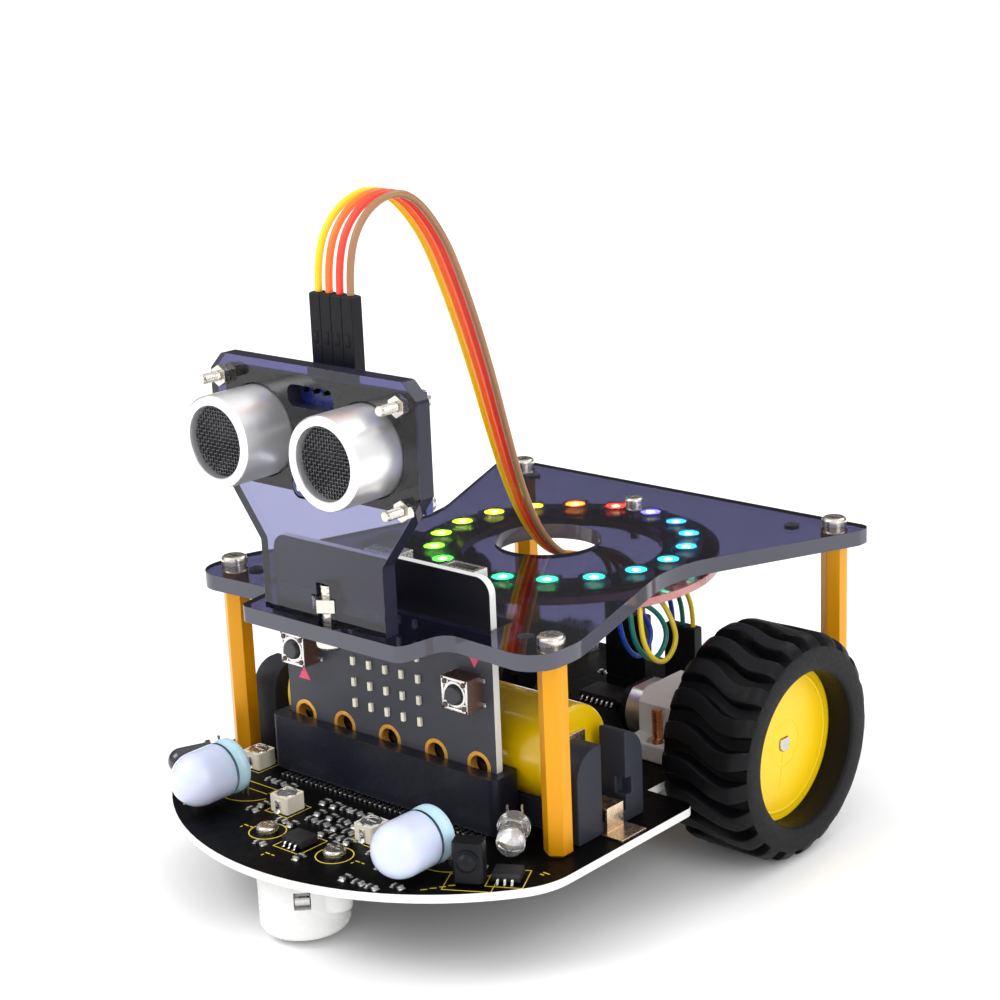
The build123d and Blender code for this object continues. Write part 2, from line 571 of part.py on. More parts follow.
# Wheels --------------------------------------------------------------------------------------------
RIM_RADIUS = 16.6
RECESS_RADIUS = 14.7
HUB_FACE_X = 49.4
HUB_DISC = 2.0
HUB_BOSS_RADIUS = 3.6
HUB_BOSS_INNER_X = 41.5


def spun(points):
    """Turn a profile of (x, radius) points about the axle."""
    profile = Plane(origin=(0, AXLE_Y, AXLE_Z), x_dir=(1, 0, 0), z_dir=(0, -1, 0)) * make_face(
        Polyline(points, close=True))
    return revolve(profile, axis=Axis((0, AXLE_Y, AXLE_Z), (1, 0, 0)))


def make_wheels():
    inner = WHEEL_INNER_X + 0.8
    barrel = RIM_RADIUS - 1.6
    disc_back = HUB_FACE_X - HUB_DISC
    hub = spun([(inner, barrel), (inner, RIM_RADIUS), (HUB_FACE_X, RIM_RADIUS), (HUB_FACE_X, 0.0),
                (HUB_BOSS_INNER_X, 0.0), (HUB_BOSS_INNER_X, HUB_BOSS_RADIUS), (disc_back, HUB_BOSS_RADIUS + 0.6),
                (disc_back, barrel)])
    hub -= along_axle(shaft_section(0.02), HUB_BOSS_INNER_X, HUB_FACE_X)
    save_sides("wheel_hub", hub)

    gap = 0.05
    tyre = spun([(WHEEL_INNER_X, RIM_RADIUS + gap), (WHEEL_INNER_X, 19.6), (WHEEL_INNER_X + 2.0, WHEEL_RADIUS),
                 (WHEEL_OUTER_X - 2.0, WHEEL_RADIUS), (WHEEL_OUTER_X, 19.6), (WHEEL_OUTER_X, RECESS_RADIUS + 0.6),
                 (WHEEL_OUTER_X - 0.6, RECESS_RADIUS), (HUB_FACE_X + gap, RECESS_RADIUS),
                 (HUB_FACE_X + gap, RIM_RADIUS + gap)])
    save_sides("tyre", tyre)


# Standoffs and deck --------------------------------------------------------------------------------
TONGUE_HALF = 19.6
TONGUE_FRONT_Y = -42.2
TONGUE_ROOT_Y = -32.4
LOBE_X = 42.5
LOBE_FRONT_Y = -33.7
LOBE_BACK_Y = -22.5
WAIST_X = 29.5
WAIST_Y = 18.8
DECK_REAR_X = 46.5
DECK_REAR_Y = 61.0
BRACKET_Y = (BRACKET_FRONT_Y + BRACKET_BACK_Y) / 2
BRACKET_TAB_X = 10.0
RING_SCREW_ANGLE = 93.75
SPARE_HOLE_X = 33.15
SPARE_HOLE_Y = (-25.6, 53.3)


def ring_point(angle):
    """A point on the circle of ring lamps."""
    turn = math.radians(angle)
    return RING_LED_RADIUS * math.cos(turn), RING_Y + RING_LED_RADIUS * math.sin(turn)


def deck_outline():
    """A front tongue, a lobe over each front post, a waist between the wheels and a wide back."""
    corners = [(TONGUE_HALF, TONGUE_FRONT_Y, 2.2), (TONGUE_HALF + 1.5, TONGUE_ROOT_Y, 3.2),
               (LOBE_X, LOBE_FRONT_Y, 5.8), (LOBE_X - 0.1, LOBE_BACK_Y, 12.0), (WAIST_X, WAIST_Y, 25.0),
               (DECK_REAR_X, DECK_REAR_Y - 4.2, 2.5), (DECK_REAR_X, DECK_REAR_Y, 2.2)]
    right = [(x, y) for x, y, radius in corners]
    left = [(-x, y) for x, y in reversed(right)]
    outline = make_face(Polyline(right + left, close=True))
    for x, y, radius in corners:
        for side in (-1, 1):
            vertex = outline.vertices().sort_by_distance(Vector(side * x, y, 0))[0]
            outline = fillet(vertex, radius)
    return outline


def make_deck():
    deck = slab(deck_outline(), DECK_BOTTOM, DECK_TOP)
    for x, y in POSTS:
        deck -= upright(M3_HOLE, x, y, DECK_BOTTOM, DECK_TOP)
    for side in (-1, 1):
        for y in SPARE_HOLE_Y:
            deck -= upright(1.5, side * SPARE_HOLE_X, y, DECK_BOTTOM, DECK_TOP)
        deck -= block(side * BRACKET_TAB_X - 3.1, side * BRACKET_TAB_X + 3.1, BRACKET_FRONT_Y - 0.1,
                      BRACKET_BACK_Y + 0.1, DECK_BOTTOM, DECK_TOP)
    deck -= upright(M3_HOLE, 0, BRACKET_Y, DECK_BOTTOM, DECK_TOP)
    deck -= upright(DECK_HOLE_RADIUS, 0, DECK_HOLE_Y, DECK_BOTTOM, DECK_TOP)
    deck -= upright(M2_HOLE, *ring_point(RING_SCREW_ANGLE), DECK_BOTTOM, DECK_TOP)
    slot_half = CONTROLLER_WIDTH / 2 + 0.7
    deck -= block(-slot_half, slot_half, CONTROLLER_FACE_Y - 1.2, CONTROLLER_BACK_Y + 3.9, DECK_BOTTOM, DECK_TOP)
    save("deck_plate", deck)


def make_standoffs():
    posts = []
    for x, y in POSTS:
        post = Pos(x, y) * extrude(Plane.XY.offset(BOARD_TOP) * (hexagon(STANDOFF_FLATS) - Circle(1.25)),
                                   amount=STANDOFF_LENGTH)
        posts.append(chamfer(post.edges().group_by(Axis.Z)[0].filter_by(GeomType.LINE), 0.5))
    save("standoffs", *posts)


def make_deck_fasteners():
    """Screws into both ends of every post, and the ring's own screw and nut."""
    pieces = []
    for x, y in POSTS:
        pieces.append(Pos(x, y, DECK_TOP) * pan_screw(2.45, 1.6, 1.24, DECK_THICKNESS + 5.0))
        pieces.append(Pos(x, y, BOARD_BOTTOM) * Rot(180, 0, 0) * pan_screw(2.45, 1.6, 1.24, 6.0))
    x, y = ring_point(RING_SCREW_ANGLE)
    pieces.append(Pos(x, y, DECK_TOP) * pan_screw(1.9, 1.3, 0.95, 9.6))
    pieces.append(Pos(x, y, RING_BOTTOM - 1.5) * hex_nut(4.0, 1.5, 1.0))
    save("deck_fasteners", *pieces)


# Lamp ring -----------------------------------------------------------------------------------------
RING_OUTER_RADIUS = 30.5
RING_INNER_RADIUS = 19.5
RING_LED_SIZE = 5.0
RING_LED_HEIGHT = 1.6
RING_TOP = DECK_BOTTOM - 0.3 - RING_LED_HEIGHT
RING_BOTTOM = RING_TOP - BOARD_THICKNESS


def make_lamp_ring():
    ring = slab(Pos(0, RING_Y) * (Circle(RING_OUTER_RADIUS) - Circle(RING_INNER_RADIUS)), RING_BOTTOM, RING_TOP)
    ring -= upright(M2_HOLE, *ring_point(RING_SCREW_ANGLE), RING_BOTTOM, RING_TOP)
    save("ring_board", ring)
    lamps = []
    for index in range(RING_LED_COUNT):
        angle = RING_FIRST_ANGLE + index * 360 / RING_LED_COUNT
        x, y = ring_point(angle)
        lamp = Box(RING_LED_SIZE, RING_LED_SIZE, RING_LED_HEIGHT) - Pos(0, 0, 0.8) * Cylinder(2.0, 0.8)
        lamp = chamfer(lamp.edges().filter_by(Axis.Z).filter_by(GeomType.LINE)[0], 0.6)
        lamps.append(Pos(x, y, RING_TOP + RING_LED_HEIGHT / 2) * Rot(0, 0, angle) * lamp)
    save("ring_lamps", *lamps)


# Sonar ---------------------------------------------------------------------------------------------
SONAR_BOARD = (45.5, 20.5)
FOOT_NUT_Z = 56.6
HEADER_PITCH = 2.54
PIN_HALF = 0.32
HOUSING_HALF = 1.25
HOUSING_LENGTH = 14.0
SONAR_PIN_Y = -33.1
SONAR_HEADER_Z = 94.6
SONAR_HOUSING_BOTTOM = 96.7
HOUSING_TOP = SONAR_HOUSING_BOTTOM + HOUSING_LENGTH
BASE_HOUSING_BOTTOM = BOARD_TOP + 2.6
BASE_HOUSING_TOP = BASE_HOUSING_BOTTOM + HOUSING_LENGTH
BASE_HEADER_Y = 43.0
SONAR_HEADER_X = 0.0
RING_HEADER_X = 14.0


def upright_sheet(outline, y0, y1):
    """A vertical plate across the car: its outline is drawn in X and Z."""
    return extrude(Plane(origin=(0, y1, 0), x_dir=(1, 0, 0), z_dir=(0, -1, 0)) * outline, amount=y1 - y0)


def make_sonar_bracket():
    half = [(14.8, DECK_TOP), (14.8, 67.0), (24.7, 80.2), (24.7, 96.4), (21.6, 99.5)]
    plate = make_face(Polyline(half + [(-x, z) for x, z in reversed(half)], close=True))
    plate = fillet(plate.vertices().filter_by(lambda v: v.Z == 0 and v.Y > DECK_TOP + 1), 1.2)
    for side in (-1, 1):
        plate += Pos(side * BRACKET_TAB_X, DECK_TOP - 1.4) * Rectangle(6.0, 2.8)
        plate -= Pos(side * SONAR_CAN_SPACING / 2, SONAR_Z) * Circle(SONAR_CAN_DIAMETER / 2 + 0.25)
    for x, z in SONAR_SCREWS:
        plate -= Pos(x, z) * Circle(SONAR_HOLE)
    plate -= Pos(0, 94.1) * RectangleRounded(11.0, 3.8, 1.5)
    plate -= Pos(0, 78.4) * RectangleRounded(11.4, 4.6, 1.6)
    plate -= Pos(0, 58.0) * Rectangle(3.2, 7.0)
    plate -= Pos(0, FOOT_NUT_Z + 1.2) * Rectangle(5.7, 2.6)
    save("sonar_bracket", upright_sheet(plate, BRACKET_FRONT_Y, BRACKET_BACK_Y))


def make_sonar_board():
    plate = Pos(0, SONAR_Z) * Rectangle(*SONAR_BOARD)
    for x, z in SONAR_SCREWS:
        plate -= Pos(x, z) * Circle(SONAR_HOLE)
    for x in header_x(0, 4):
        plate -= Pos(x, SONAR_HEADER_Z) * Circle(0.5)
    board = upright_sheet(plate, BRACKET_BACK_Y, SONAR_BOARD_BACK_Y)
    crystal = block(-5.2, 5.2, BRACKET_BACK_Y - 3.4, BRACKET_BACK_Y, 76.6, 80.2)
    board += fillet(crystal.edges().filter_by(Axis.Y), 1.7)
    for x, z, size in ((-11.0, 85.0, 5.0), (1.0, 85.5, 6.0), (12.0, 85.0, 5.0)):
        board += block(x - size / 2, x + size / 2, SONAR_BOARD_BACK_Y, SONAR_BOARD_BACK_Y + 1.5, z - 2.0, z + 2.0)
    save("sonar_board", board)


def make_sonar_cans():
    """Two aluminium cans, each with a mesh-covered mouth and a transducer cup behind it."""
    front = BRACKET_BACK_Y - SONAR_CAN_LENGTH
    radius = SONAR_CAN_DIAMETER / 2
    pieces = []
    for side in (-1, 1):
        x = side * SONAR_CAN_SPACING / 2
        can = forward(radius, x, front, BRACKET_BACK_Y, SONAR_Z)
        can = fillet(can.edges().filter_by(GeomType.CIRCLE).group_by(Axis.Y)[0], 0.7)
        can -= forward(6.4, x, front, front + 0.9, SONAR_Z)
        can -= forward(7.3, x, front + 0.9, BRACKET_BACK_Y - 1.2, SONAR_Z)
        pieces.append(can)
        pieces.append(forward(7.2, x, front + 1.0, front + 1.4, SONAR_Z))
        pieces.append(forward(5.0, x, front + 4.0, BRACKET_BACK_Y - 1.2, SONAR_Z))
    save("sonar_cans", *pieces)


def make_sonar_fasteners():
    """Four small screws through board and bracket, and the screw and nut of the bracket's foot."""
    pieces = []
    for x, z in SONAR_SCREWS:
        screw = pan_screw(1.6, 1.1, 0.8, 9.8)
        pieces.append(Pos(x, SONAR_BOARD_BACK_Y, z) * Rot(-90, 0, 0) * screw)
        pieces.append(Pos(x, BRACKET_FRONT_Y, z) * Rot(90, 0, 0) * hex_nut(3.3, 1.4, 0.85))
    pieces.append(Pos(0, BRACKET_Y, DECK_BOTTOM) * Rot(180, 0, 0) * pan_screw(2.75, 1.9, 1.48, 9.6))
    pieces.append(Pos(0, BRACKET_Y, FOOT_NUT_Z) * hex_nut(5.5, 2.4, 1.5))
    save("sonar_fasteners", *pieces)


# Headers, plugs and wires --------------------------------------------------------------------------
def header_x(centre, pins):
    """The X of every pin in a header."""
    return [centre + (index - (pins - 1) / 2) * HEADER_PITCH for index in range(pins)]


def make_pin_headers():
    pieces = []
    for x in header_x(0, 4):
        strip = block(x - 1.27, x + 1.27, SONAR_BOARD_BACK_Y, SONAR_PIN_Y + 1.2, SONAR_HEADER_Z - 0.9,
                      SONAR_HOUSING_BOTTOM - 0.1)
        tail = block(x - PIN_HALF, x + PIN_HALF, BRACKET_BACK_Y - 1.2, SONAR_PIN_Y, SONAR_HEADER_Z - PIN_HALF,
                     SONAR_HEADER_Z + PIN_HALF)
        pin = block(x - PIN_HALF, x + PIN_HALF, SONAR_PIN_Y - PIN_HALF, SONAR_PIN_Y + PIN_HALF, SONAR_HEADER_Z,
                    SONAR_HOUSING_BOTTOM + 6.3)
        pieces.append(strip + tail + pin)
    for centre, pins in ((SONAR_HEADER_X, 4), (RING_HEADER_X, 3)):
        for x in header_x(centre, pins):
            strip = block(x - 1.27, x + 1.27, BASE_HEADER_Y - 1.27, BASE_HEADER_Y + 1.27, BOARD_TOP, BOARD_TOP + 2.5)
            pin = block(x - PIN_HALF, x + PIN_HALF, BASE_HEADER_Y - PIN_HALF, BASE_HEADER_Y + PIN_HALF,
                        BOARD_TOP + 2.5, BOARD_TOP + 8.5)
            pieces.append(strip + pin)
    save("pin_headers", *pieces)


def plug(x, y, bottom):
    """One black jumper plug, open below for its pin."""
    body = block(x - HOUSING_HALF, x + HOUSING_HALF, y - HOUSING_HALF, y + HOUSING_HALF, bottom, bottom + HOUSING_LENGTH)
    body = chamfer(body.edges().group_by(Axis.Z)[-1], 0.25)
    hollow = PIN_HALF + 0.06
    return body - block(x - hollow, x + hollow, y - hollow, y + hollow, bottom, bottom + 7.0)


def make_plugs():
    plugs = [plug(x, SONAR_PIN_Y, SONAR_HOUSING_BOTTOM) for x in header_x(0, 4)]
    plugs += [plug(x, BASE_HEADER_Y, BASE_HOUSING_BOTTOM) for x in header_x(SONAR_HEADER_X, 4)]
    plugs += [plug(x, BASE_HEADER_Y, BASE_HOUSING_BOTTOM) for x in header_x(RING_HEADER_X, 3)]
    save("jumper_plugs", *plugs)


SONAR_WIRE_DIAMETER = 1.3
SONAR_WIRES = ("yellow", "orange", "red", "brown")
# Each point: pitch between neighbouring wires, Y and Z of the ribbon's middle, and how far each wire
# lies behind the next one to its right.
SONAR_ROUTE = [(2.54, SONAR_PIN_Y, HOUSING_TOP, 0.0), (2.54, SONAR_PIN_Y, 118.0, 0.0), (2.4, -27.6, 125.0, 0.1),
               (2.3, -18.2, 126.9, 0.2), (2.2, -9.4, 118.5, 0.3), (2.15, -3.4, 106.0, 0.3), (2.1, 1.9, 92.0, 0.4),
               (2.05, 6.3, 78.0, 0.5), (2.0, 10.1, 67.0, 0.7), (1.9, 15.0, 57.3, 0.7), (1.8, 21.8, 50.6, 0.4),
               (1.9, 30.0, 48.2, 0.1), (2.2, 37.2, 45.2, 0.0), (2.54, BASE_HEADER_Y, 39.8, 0.0),
               (2.54, BASE_HEADER_Y, BASE_HOUSING_TOP, 0.0)]
RING_WIRE_DIAMETER = 1.0
RING_ROUTES = {
    "yellow": [(27.0, 13.0, RING_BOTTOM), (27.0, 13.0, 42.2), (26.9, 16.2, 36.4), (26.2, 21.6, 33.9),
               (25.6, 26.0, 36.9), (24.8, 25.4, 41.4), (22.6, 24.6, 45.4), (16.8, 26.2, 46.2), (16.4, 33.2, 45.2),
               (16.54, BASE_HEADER_Y, 40.8), (16.54, BASE_HEADER_Y, BASE_HOUSING_TOP)],
    "teal": [(25.2, 12.4, RING_BOTTOM), (25.2, 12.4, 42.6), (25.1, 15.8, 36.8), (24.4, 21.0, 34.2),
             (23.8, 25.6, 37.6), (22.8, 24.4, 42.2), (20.4, 20.6, 45.6), (14.4, 22.4, 46.2), (14.0, 32.0, 45.2),
             (14.0, BASE_HEADER_Y, 40.8), (14.0, BASE_HEADER_Y, BASE_HOUSING_TOP)],
    "blue": [(23.2, 11.4, RING_BOTTOM), (23.2, 11.4, 43.2), (22.9, 14.6, 37.4), (22.1, 19.5, 34.7),
             (21.4, 24.0, 37.9), (20.3, 22.6, 42.4), (18.0, 18.8, 45.7), (12.0, 19.8, 46.3), (11.5, 31.0, 45.2),
             (11.46, BASE_HEADER_Y, 40.8), (11.46, BASE_HEADER_Y, BASE_HOUSING_TOP)],
}


def sonar_wire_points(index):
    """The route of one wire of the sonar's ribbon."""
    step = index - (len(SONAR_WIRES) - 1) / 2
    return [(step * pitch, y - step * behind, z) for pitch, y, z, behind in SONAR_ROUTE]


def wire(points, diameter):
    """A round wire along straight runs that are joined by the largest arcs they allow."""
    radii = []
    for before, here, after in zip(points, points[1:], points[2:]):
        run_in = Vector(*here) - Vector(*before)
        run_out = Vector(*after) - Vector(*here)
        half_turn = math.radians(run_in.get_angle(run_out)) / 2
        radii.append(0.45 * min(run_in.length, run_out.length) / math.tan(half_turn))
    path = FilletPolyline(*points, radius=radii)
    start = Plane(origin=points[0], z_dir=path % 0)
    tube = sweep(start * Circle(diameter / 2), path=path)
    expected = math.pi * diameter ** 2 / 4 * path.length
    print(f"wire length {path.length:.1f}, least radius {min(radii):.1f}, volume ratio {tube.volume / expected:.4f}")
    return tube


def make_wires():
    for index, colour in enumerate(SONAR_WIRES):
        save("sonar_wire_" + colour, wire(sonar_wire_points(index), SONAR_WIRE_DIAMETER))
    for colour, points in RING_ROUTES.items():
        save("ring_wire_" + colour, wire(points, RING_WIRE_DIAMETER))


# Controller board ----------------------------------------------------------------------------------
PAD_X = (-21.65, -11.45, 0.0, 11.45, 21.65)
PAD_Z = 28.3
PAD_HOLE_RADIUS = 2.0
BUTTON_X = 20.1
BUTTON_Z = 42.4
BUTTON_SIZE = 6.0
BUTTON_DEPTH = 3.6
BUTTON_CAP_RADIUS = 1.75
BUTTON_CAP_FRONT_Y = CONTROLLER_FACE_Y - 4.5
MATRIX_PITCH = 4.05
MATRIX_BOTTOM_Z = 33.6


def make_controller_board():
    middle = CONTROLLER_BOTTOM_Z + CONTROLLER_HEIGHT / 2
    plate = Pos(0, middle) * RectangleRounded(CONTROLLER_WIDTH, CONTROLLER_HEIGHT, 3.0)
    for x in PAD_X:
        plate -= Pos(x, PAD_Z) * Circle(PAD_HOLE_RADIUS)
    save("controller_board", upright_sheet(plate, CONTROLLER_FACE_Y, CONTROLLER_BACK_Y))


def make_controller_parts():
    """The 5 by 5 lamps and the button bodies on the face; chips, sockets and a reset switch on the back."""
    face = CONTROLLER_FACE_Y
    back = CONTROLLER_BACK_Y
    pieces = []
    for row in range(5):
        for column in range(5):
            x = (column - 2) * MATRIX_PITCH
            z = MATRIX_BOTTOM_Z + row * MATRIX_PITCH
            pieces.append(block(x - 0.4, x + 0.4, face - 0.6, face, z - 0.8, z + 0.8))
    pieces.append(block(-9.0, -2.0, back, back + 1.0, 44.0, 51.0))
    pieces.append(block(3.0, 8.0, back, back + 1.0, 45.0, 50.0))
    pieces.append(block(-4.0, 4.0, back, back + 2.8, 58.4, CONTROLLER_TOP_Z + 0.4))
    battery_socket = block(13.0, 21.0, back, back + 3.4, 56.6, CONTROLLER_TOP_Z)
    pieces.append(battery_socket - block(14.0, 20.0, back + 0.8, back + 2.8, 59.0, CONTROLLER_TOP_Z))
    pieces += make_buttons()
    save("controller_parts", *pieces)


def make_buttons():
    """Write the caps of two press buttons and the reset button, and give back the switches they sit in."""
    clearance = 0.05
    bodies = []
    for side, name in ((-1, "a"), (1, "b")):
        x = side * BUTTON_X
        half = BUTTON_SIZE / 2
        body = block(x - half, x + half, CONTROLLER_FACE_Y - BUTTON_DEPTH, CONTROLLER_FACE_Y, BUTTON_Z - half,
                     BUTTON_Z + half)
        body -= forward(BUTTON_CAP_RADIUS + clearance, x, CONTROLLER_FACE_Y - BUTTON_DEPTH, CONTROLLER_FACE_Y - 1.0,
                        BUTTON_Z)
        bodies.append(body)
        cap = forward(BUTTON_CAP_RADIUS, x, BUTTON_CAP_FRONT_Y, CONTROLLER_FACE_Y - 1.4, BUTTON_Z)
        save("button_cap_" + name, fillet(cap.edges().group_by(Axis.Y)[0], 0.3))
    reset_x = -13.0
    reset_z = 59.4
    reset = block(reset_x - 2.2, reset_x + 2.2, CONTROLLER_BACK_Y, CONTROLLER_BACK_Y + 1.8, reset_z - 1.6, reset_z + 1.6)
    reset -= forward(0.8 + clearance, reset_x, CONTROLLER_BACK_Y + 0.6, CONTROLLER_BACK_Y + 1.8, reset_z)
    save("reset_cap", forward(0.8, reset_x, CONTROLLER_BACK_Y + 0.9, CONTROLLER_BACK_Y + 2.5, reset_z))
    return bodies + [reset]


def main():
    os.makedirs("parts", exist_ok=True)
    make_base_board()
    make_surface_parts()
    make_edge_connector()
    make_edge_contacts()
    make_battery_holder()
    make_battery_contacts()
    make_battery_cell()
    make_headlights()
    make_infrared_parts()
    make_trimmers()
    make_power_switch()
    make_caster()
    make_base_fasteners()
    make_motor_shells()
    make_motor_brackets()
    make_gearbox_frames()
    make_gear_train()
    make_wheels()
    make_standoffs()
    make_deck()
    make_deck_fasteners()
    make_lamp_ring()
    make_sonar_bracket()
    make_sonar_board()
    make_sonar_cans()
    make_sonar_fasteners()
    make_pin_headers()
    make_plugs()
    make_wires()
    make_controller_board()
    make_controller_parts()


main()
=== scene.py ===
"""Looks of the two wheel robot car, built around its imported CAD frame. Metres, in the frame's own axes."""
import json
import math
import random

import bmesh
import bpy
from mathutils import Matrix, Vector


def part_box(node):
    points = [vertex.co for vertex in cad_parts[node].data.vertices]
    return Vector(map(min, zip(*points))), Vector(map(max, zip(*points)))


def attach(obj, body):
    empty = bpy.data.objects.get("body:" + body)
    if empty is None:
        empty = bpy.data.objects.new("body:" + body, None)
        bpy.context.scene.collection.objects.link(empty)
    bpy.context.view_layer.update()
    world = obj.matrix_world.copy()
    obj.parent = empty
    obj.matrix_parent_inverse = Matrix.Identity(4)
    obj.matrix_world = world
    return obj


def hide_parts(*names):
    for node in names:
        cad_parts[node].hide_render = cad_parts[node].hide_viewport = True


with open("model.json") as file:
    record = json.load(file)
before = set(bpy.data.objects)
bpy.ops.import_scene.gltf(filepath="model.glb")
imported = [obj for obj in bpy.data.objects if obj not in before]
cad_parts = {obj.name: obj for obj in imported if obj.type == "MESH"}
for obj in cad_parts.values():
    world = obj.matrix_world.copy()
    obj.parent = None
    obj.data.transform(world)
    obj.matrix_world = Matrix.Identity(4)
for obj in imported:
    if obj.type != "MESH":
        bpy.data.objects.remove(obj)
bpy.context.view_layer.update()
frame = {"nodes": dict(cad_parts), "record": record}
nodes = frame["nodes"]
record = frame["record"]
BODY_OF = {node: body for body, held in record["behaviour"]["bodies"].items() for node in held}
MM = 0.001

# Places read from the frame, in metres ------------------------------------------------------------
BOARD_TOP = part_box("base_board")[1].z
DECK_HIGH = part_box("deck_plate")[1]
CONTROLLER_LOW, CONTROLLER_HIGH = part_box("controller_board")
CAN_LOW, CAN_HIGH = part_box("sonar_cans")
TYRE_LOW, TYRE_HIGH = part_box("tyre_right")
RING_LOW, RING_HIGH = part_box("ring_board")
CASTER_LOW, CASTER_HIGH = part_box("caster_housing")
CASTER_Y = (CASTER_LOW.y + CASTER_HIGH.y) / 2
CAN_RADIUS = (CAN_HIGH.z - CAN_LOW.z) / 2
CAN_Z = (CAN_HIGH.z + CAN_LOW.z) / 2
CAN_X = CAN_HIGH.x - CAN_RADIUS
AXLE_Y = (TYRE_LOW.y + TYRE_HIGH.y) / 2
AXLE_Z = (TYRE_LOW.z + TYRE_HIGH.z) / 2
RING_Y = (RING_LOW.y + RING_HIGH.y) / 2

# Places that no box gives, in millimetres ---------------------------------------------------------
HEADLIGHT_X = 25.2
CASTER_SCREW_X = 8.4
CRYSTAL_Z = 78.4
LAMP_CIRCLE = 24.7
RING_HOLE_CIRCLE = 20.9
PAD_X = (-21.65, -11.45, 0.0, 11.45, 21.65)
PAD_Z = 28.3
BUTTON_X = 20.1
BUTTON_Z = 42.4


# Materials -----------------------------------------------------------------------------------------
def new_material(name, colour, roughness, metallic=0.0, **sockets):
    """A Principled material; sockets are set by name with spaces for underscores."""
    material = bpy.data.materials.new(name)
    material.use_nodes = True
    shader = material.node_tree.nodes["Principled BSDF"]
    shader.inputs["Base Color"].default_value = (*colour, 1.0)
    shader.inputs["Roughness"].default_value = roughness
    shader.inputs["Metallic"].default_value = metallic
    for key, value in sockets.items():
        shader.inputs[key.replace("_", " ")].default_value = value
    return material


def object_coordinates(tree, scale=(1.0, 1.0, 1.0)):
    coordinates = tree.nodes.new("ShaderNodeTexCoord")
    mapping = tree.nodes.new("ShaderNodeMapping")
    mapping.inputs["Scale"].default_value = scale
    tree.links.new(coordinates.outputs["Object"], mapping.inputs["Vector"])
    return mapping.outputs["Vector"]


def noise(tree, vector, scale, detail=3.0):
    texture = tree.nodes.new("ShaderNodeTexNoise")
    texture.inputs["Scale"].default_value = scale
    texture.inputs["Detail"].default_value = detail
    tree.links.new(vector, texture.inputs["Vector"])
    return texture.outputs["Fac"]


def ramp(tree, factor, low, high, start=0.3, end=0.7):
    """Blend from one colour to another as the factor goes from start to end."""
    node = tree.nodes.new("ShaderNodeValToRGB")
    node.color_ramp.elements[0].position = start
    node.color_ramp.elements[0].color = (*low, 1.0)
    node.color_ramp.elements[1].position = end
    node.color_ramp.elements[1].color = (*high, 1.0)
    tree.links.new(factor, node.inputs["Fac"])
    return node.outputs["Color"]


def math_node(tree, operation, *values):
    """A Math node whose inputs are numbers or other nodes' outputs."""
    node = tree.nodes.new("ShaderNodeMath")
    node.operation = operation
    for socket, value in zip(node.inputs, values):
        if isinstance(value, float):
            socket.default_value = value
        else:
            tree.links.new(value, socket)
    return node.outputs[0]


def map_range(tree, value, low, high, low_result, high_result):
    """Turn a value between low and high into one between the two results."""
    node = tree.nodes.new("ShaderNodeMapRange")
    node.inputs["From Min"].default_value = low
    node.inputs["From Max"].default_value = high
    node.inputs["To Min"].default_value = low_result
    node.inputs["To Max"].default_value = high_result
    tree.links.new(value, node.inputs["Value"])
    return node.outputs[0]


def shade(colour, factor):
    return tuple(min(1.0, channel * factor) for channel in colour)


def surface(name, colour, roughness, metallic=0.0, stretch=(1.0, 1.0, 1.0), grain=900.0, bump=0.05,
            contrast=0.12, roughness_spread=0.08, **sockets):
    """A finish with fine grain: noise moves its colour and roughness a little and gives it a fine bump."""
    material = new_material(name, colour, roughness, metallic, **sockets)
    tree = material.node_tree
    shader = tree.nodes["Principled BSDF"]
    vector = object_coordinates(tree, stretch)
    fine = noise(tree, vector, grain)
    broad = noise(tree, vector, grain / 12.0, 2.0)
    tint = ramp(tree, broad, shade(colour, 1.0 - contrast), shade(colour, 1.0 + contrast))
    tree.links.new(tint, shader.inputs["Base Color"])
    smoothest = (max(0.0, roughness - roughness_spread),) * 3
    roughest = (roughness + roughness_spread,) * 3
    tree.links.new(ramp(tree, fine, smoothest, roughest), shader.inputs["Roughness"])
    if bump:
        node = tree.nodes.new("ShaderNodeBump")
        node.inputs["Strength"].default_value = bump
        node.inputs["Distance"].default_value = 0.0001
        tree.links.new(fine, node.inputs["Height"])
        tree.links.new(node.outputs["Normal"], shader.inputs["Normal"])
    return material


def add_edge_colour(material, axis, edge_colour, limit=0.6):
    """Faces that don't look along the given axis, the cut edges of a plate, take another colour."""
    tree = material.node_tree
    shader = tree.nodes["Principled BSDF"]
    geometry = tree.nodes.new("ShaderNodeNewGeometry")
    split = tree.nodes.new("ShaderNodeSeparateXYZ")
    tree.links.new(geometry.outputs["Normal"], split.inputs[0])
    on_edge = math_node(tree, "LESS_THAN", math_node(tree, "ABSOLUTE", split.outputs[axis]), limit)
    mix = tree.nodes.new("ShaderNodeMix")
    mix.data_type = "RGBA"
    tree.links.new(on_edge, mix.inputs["Factor"])
    face_socket, edge_socket = [socket for socket in mix.inputs if socket.type == "RGBA"]
    face_link = shader.inputs["Base Color"].links
    if face_link:
        tree.links.new(face_link[0].from_socket, face_socket)
    else:
        face_socket.default_value = shader.inputs["Base Color"].default_value
    edge_socket.default_value = (*edge_colour, 1.0)
    mixed = [socket for socket in mix.outputs if socket.type == "RGBA"][0]
    tree.links.new(mixed, shader.inputs["Base Color"])
    return on_edge


def blend_upwards(material, low_colour, high_colour, start, end):
    """Change a material's colour with height, between two heights in metres."""
    stretch = 5.0
    tree = material.node_tree
    split = tree.nodes.new("ShaderNodeSeparateXYZ")
    tree.links.new(object_coordinates(tree, (1.0, 1.0, stretch)), split.inputs[0])
    colour = ramp(tree, split.outputs["Z"], low_colour, high_colour, stretch * start, stretch * end)
    tree.links.new(colour, tree.nodes["Principled BSDF"].inputs["Base Color"])


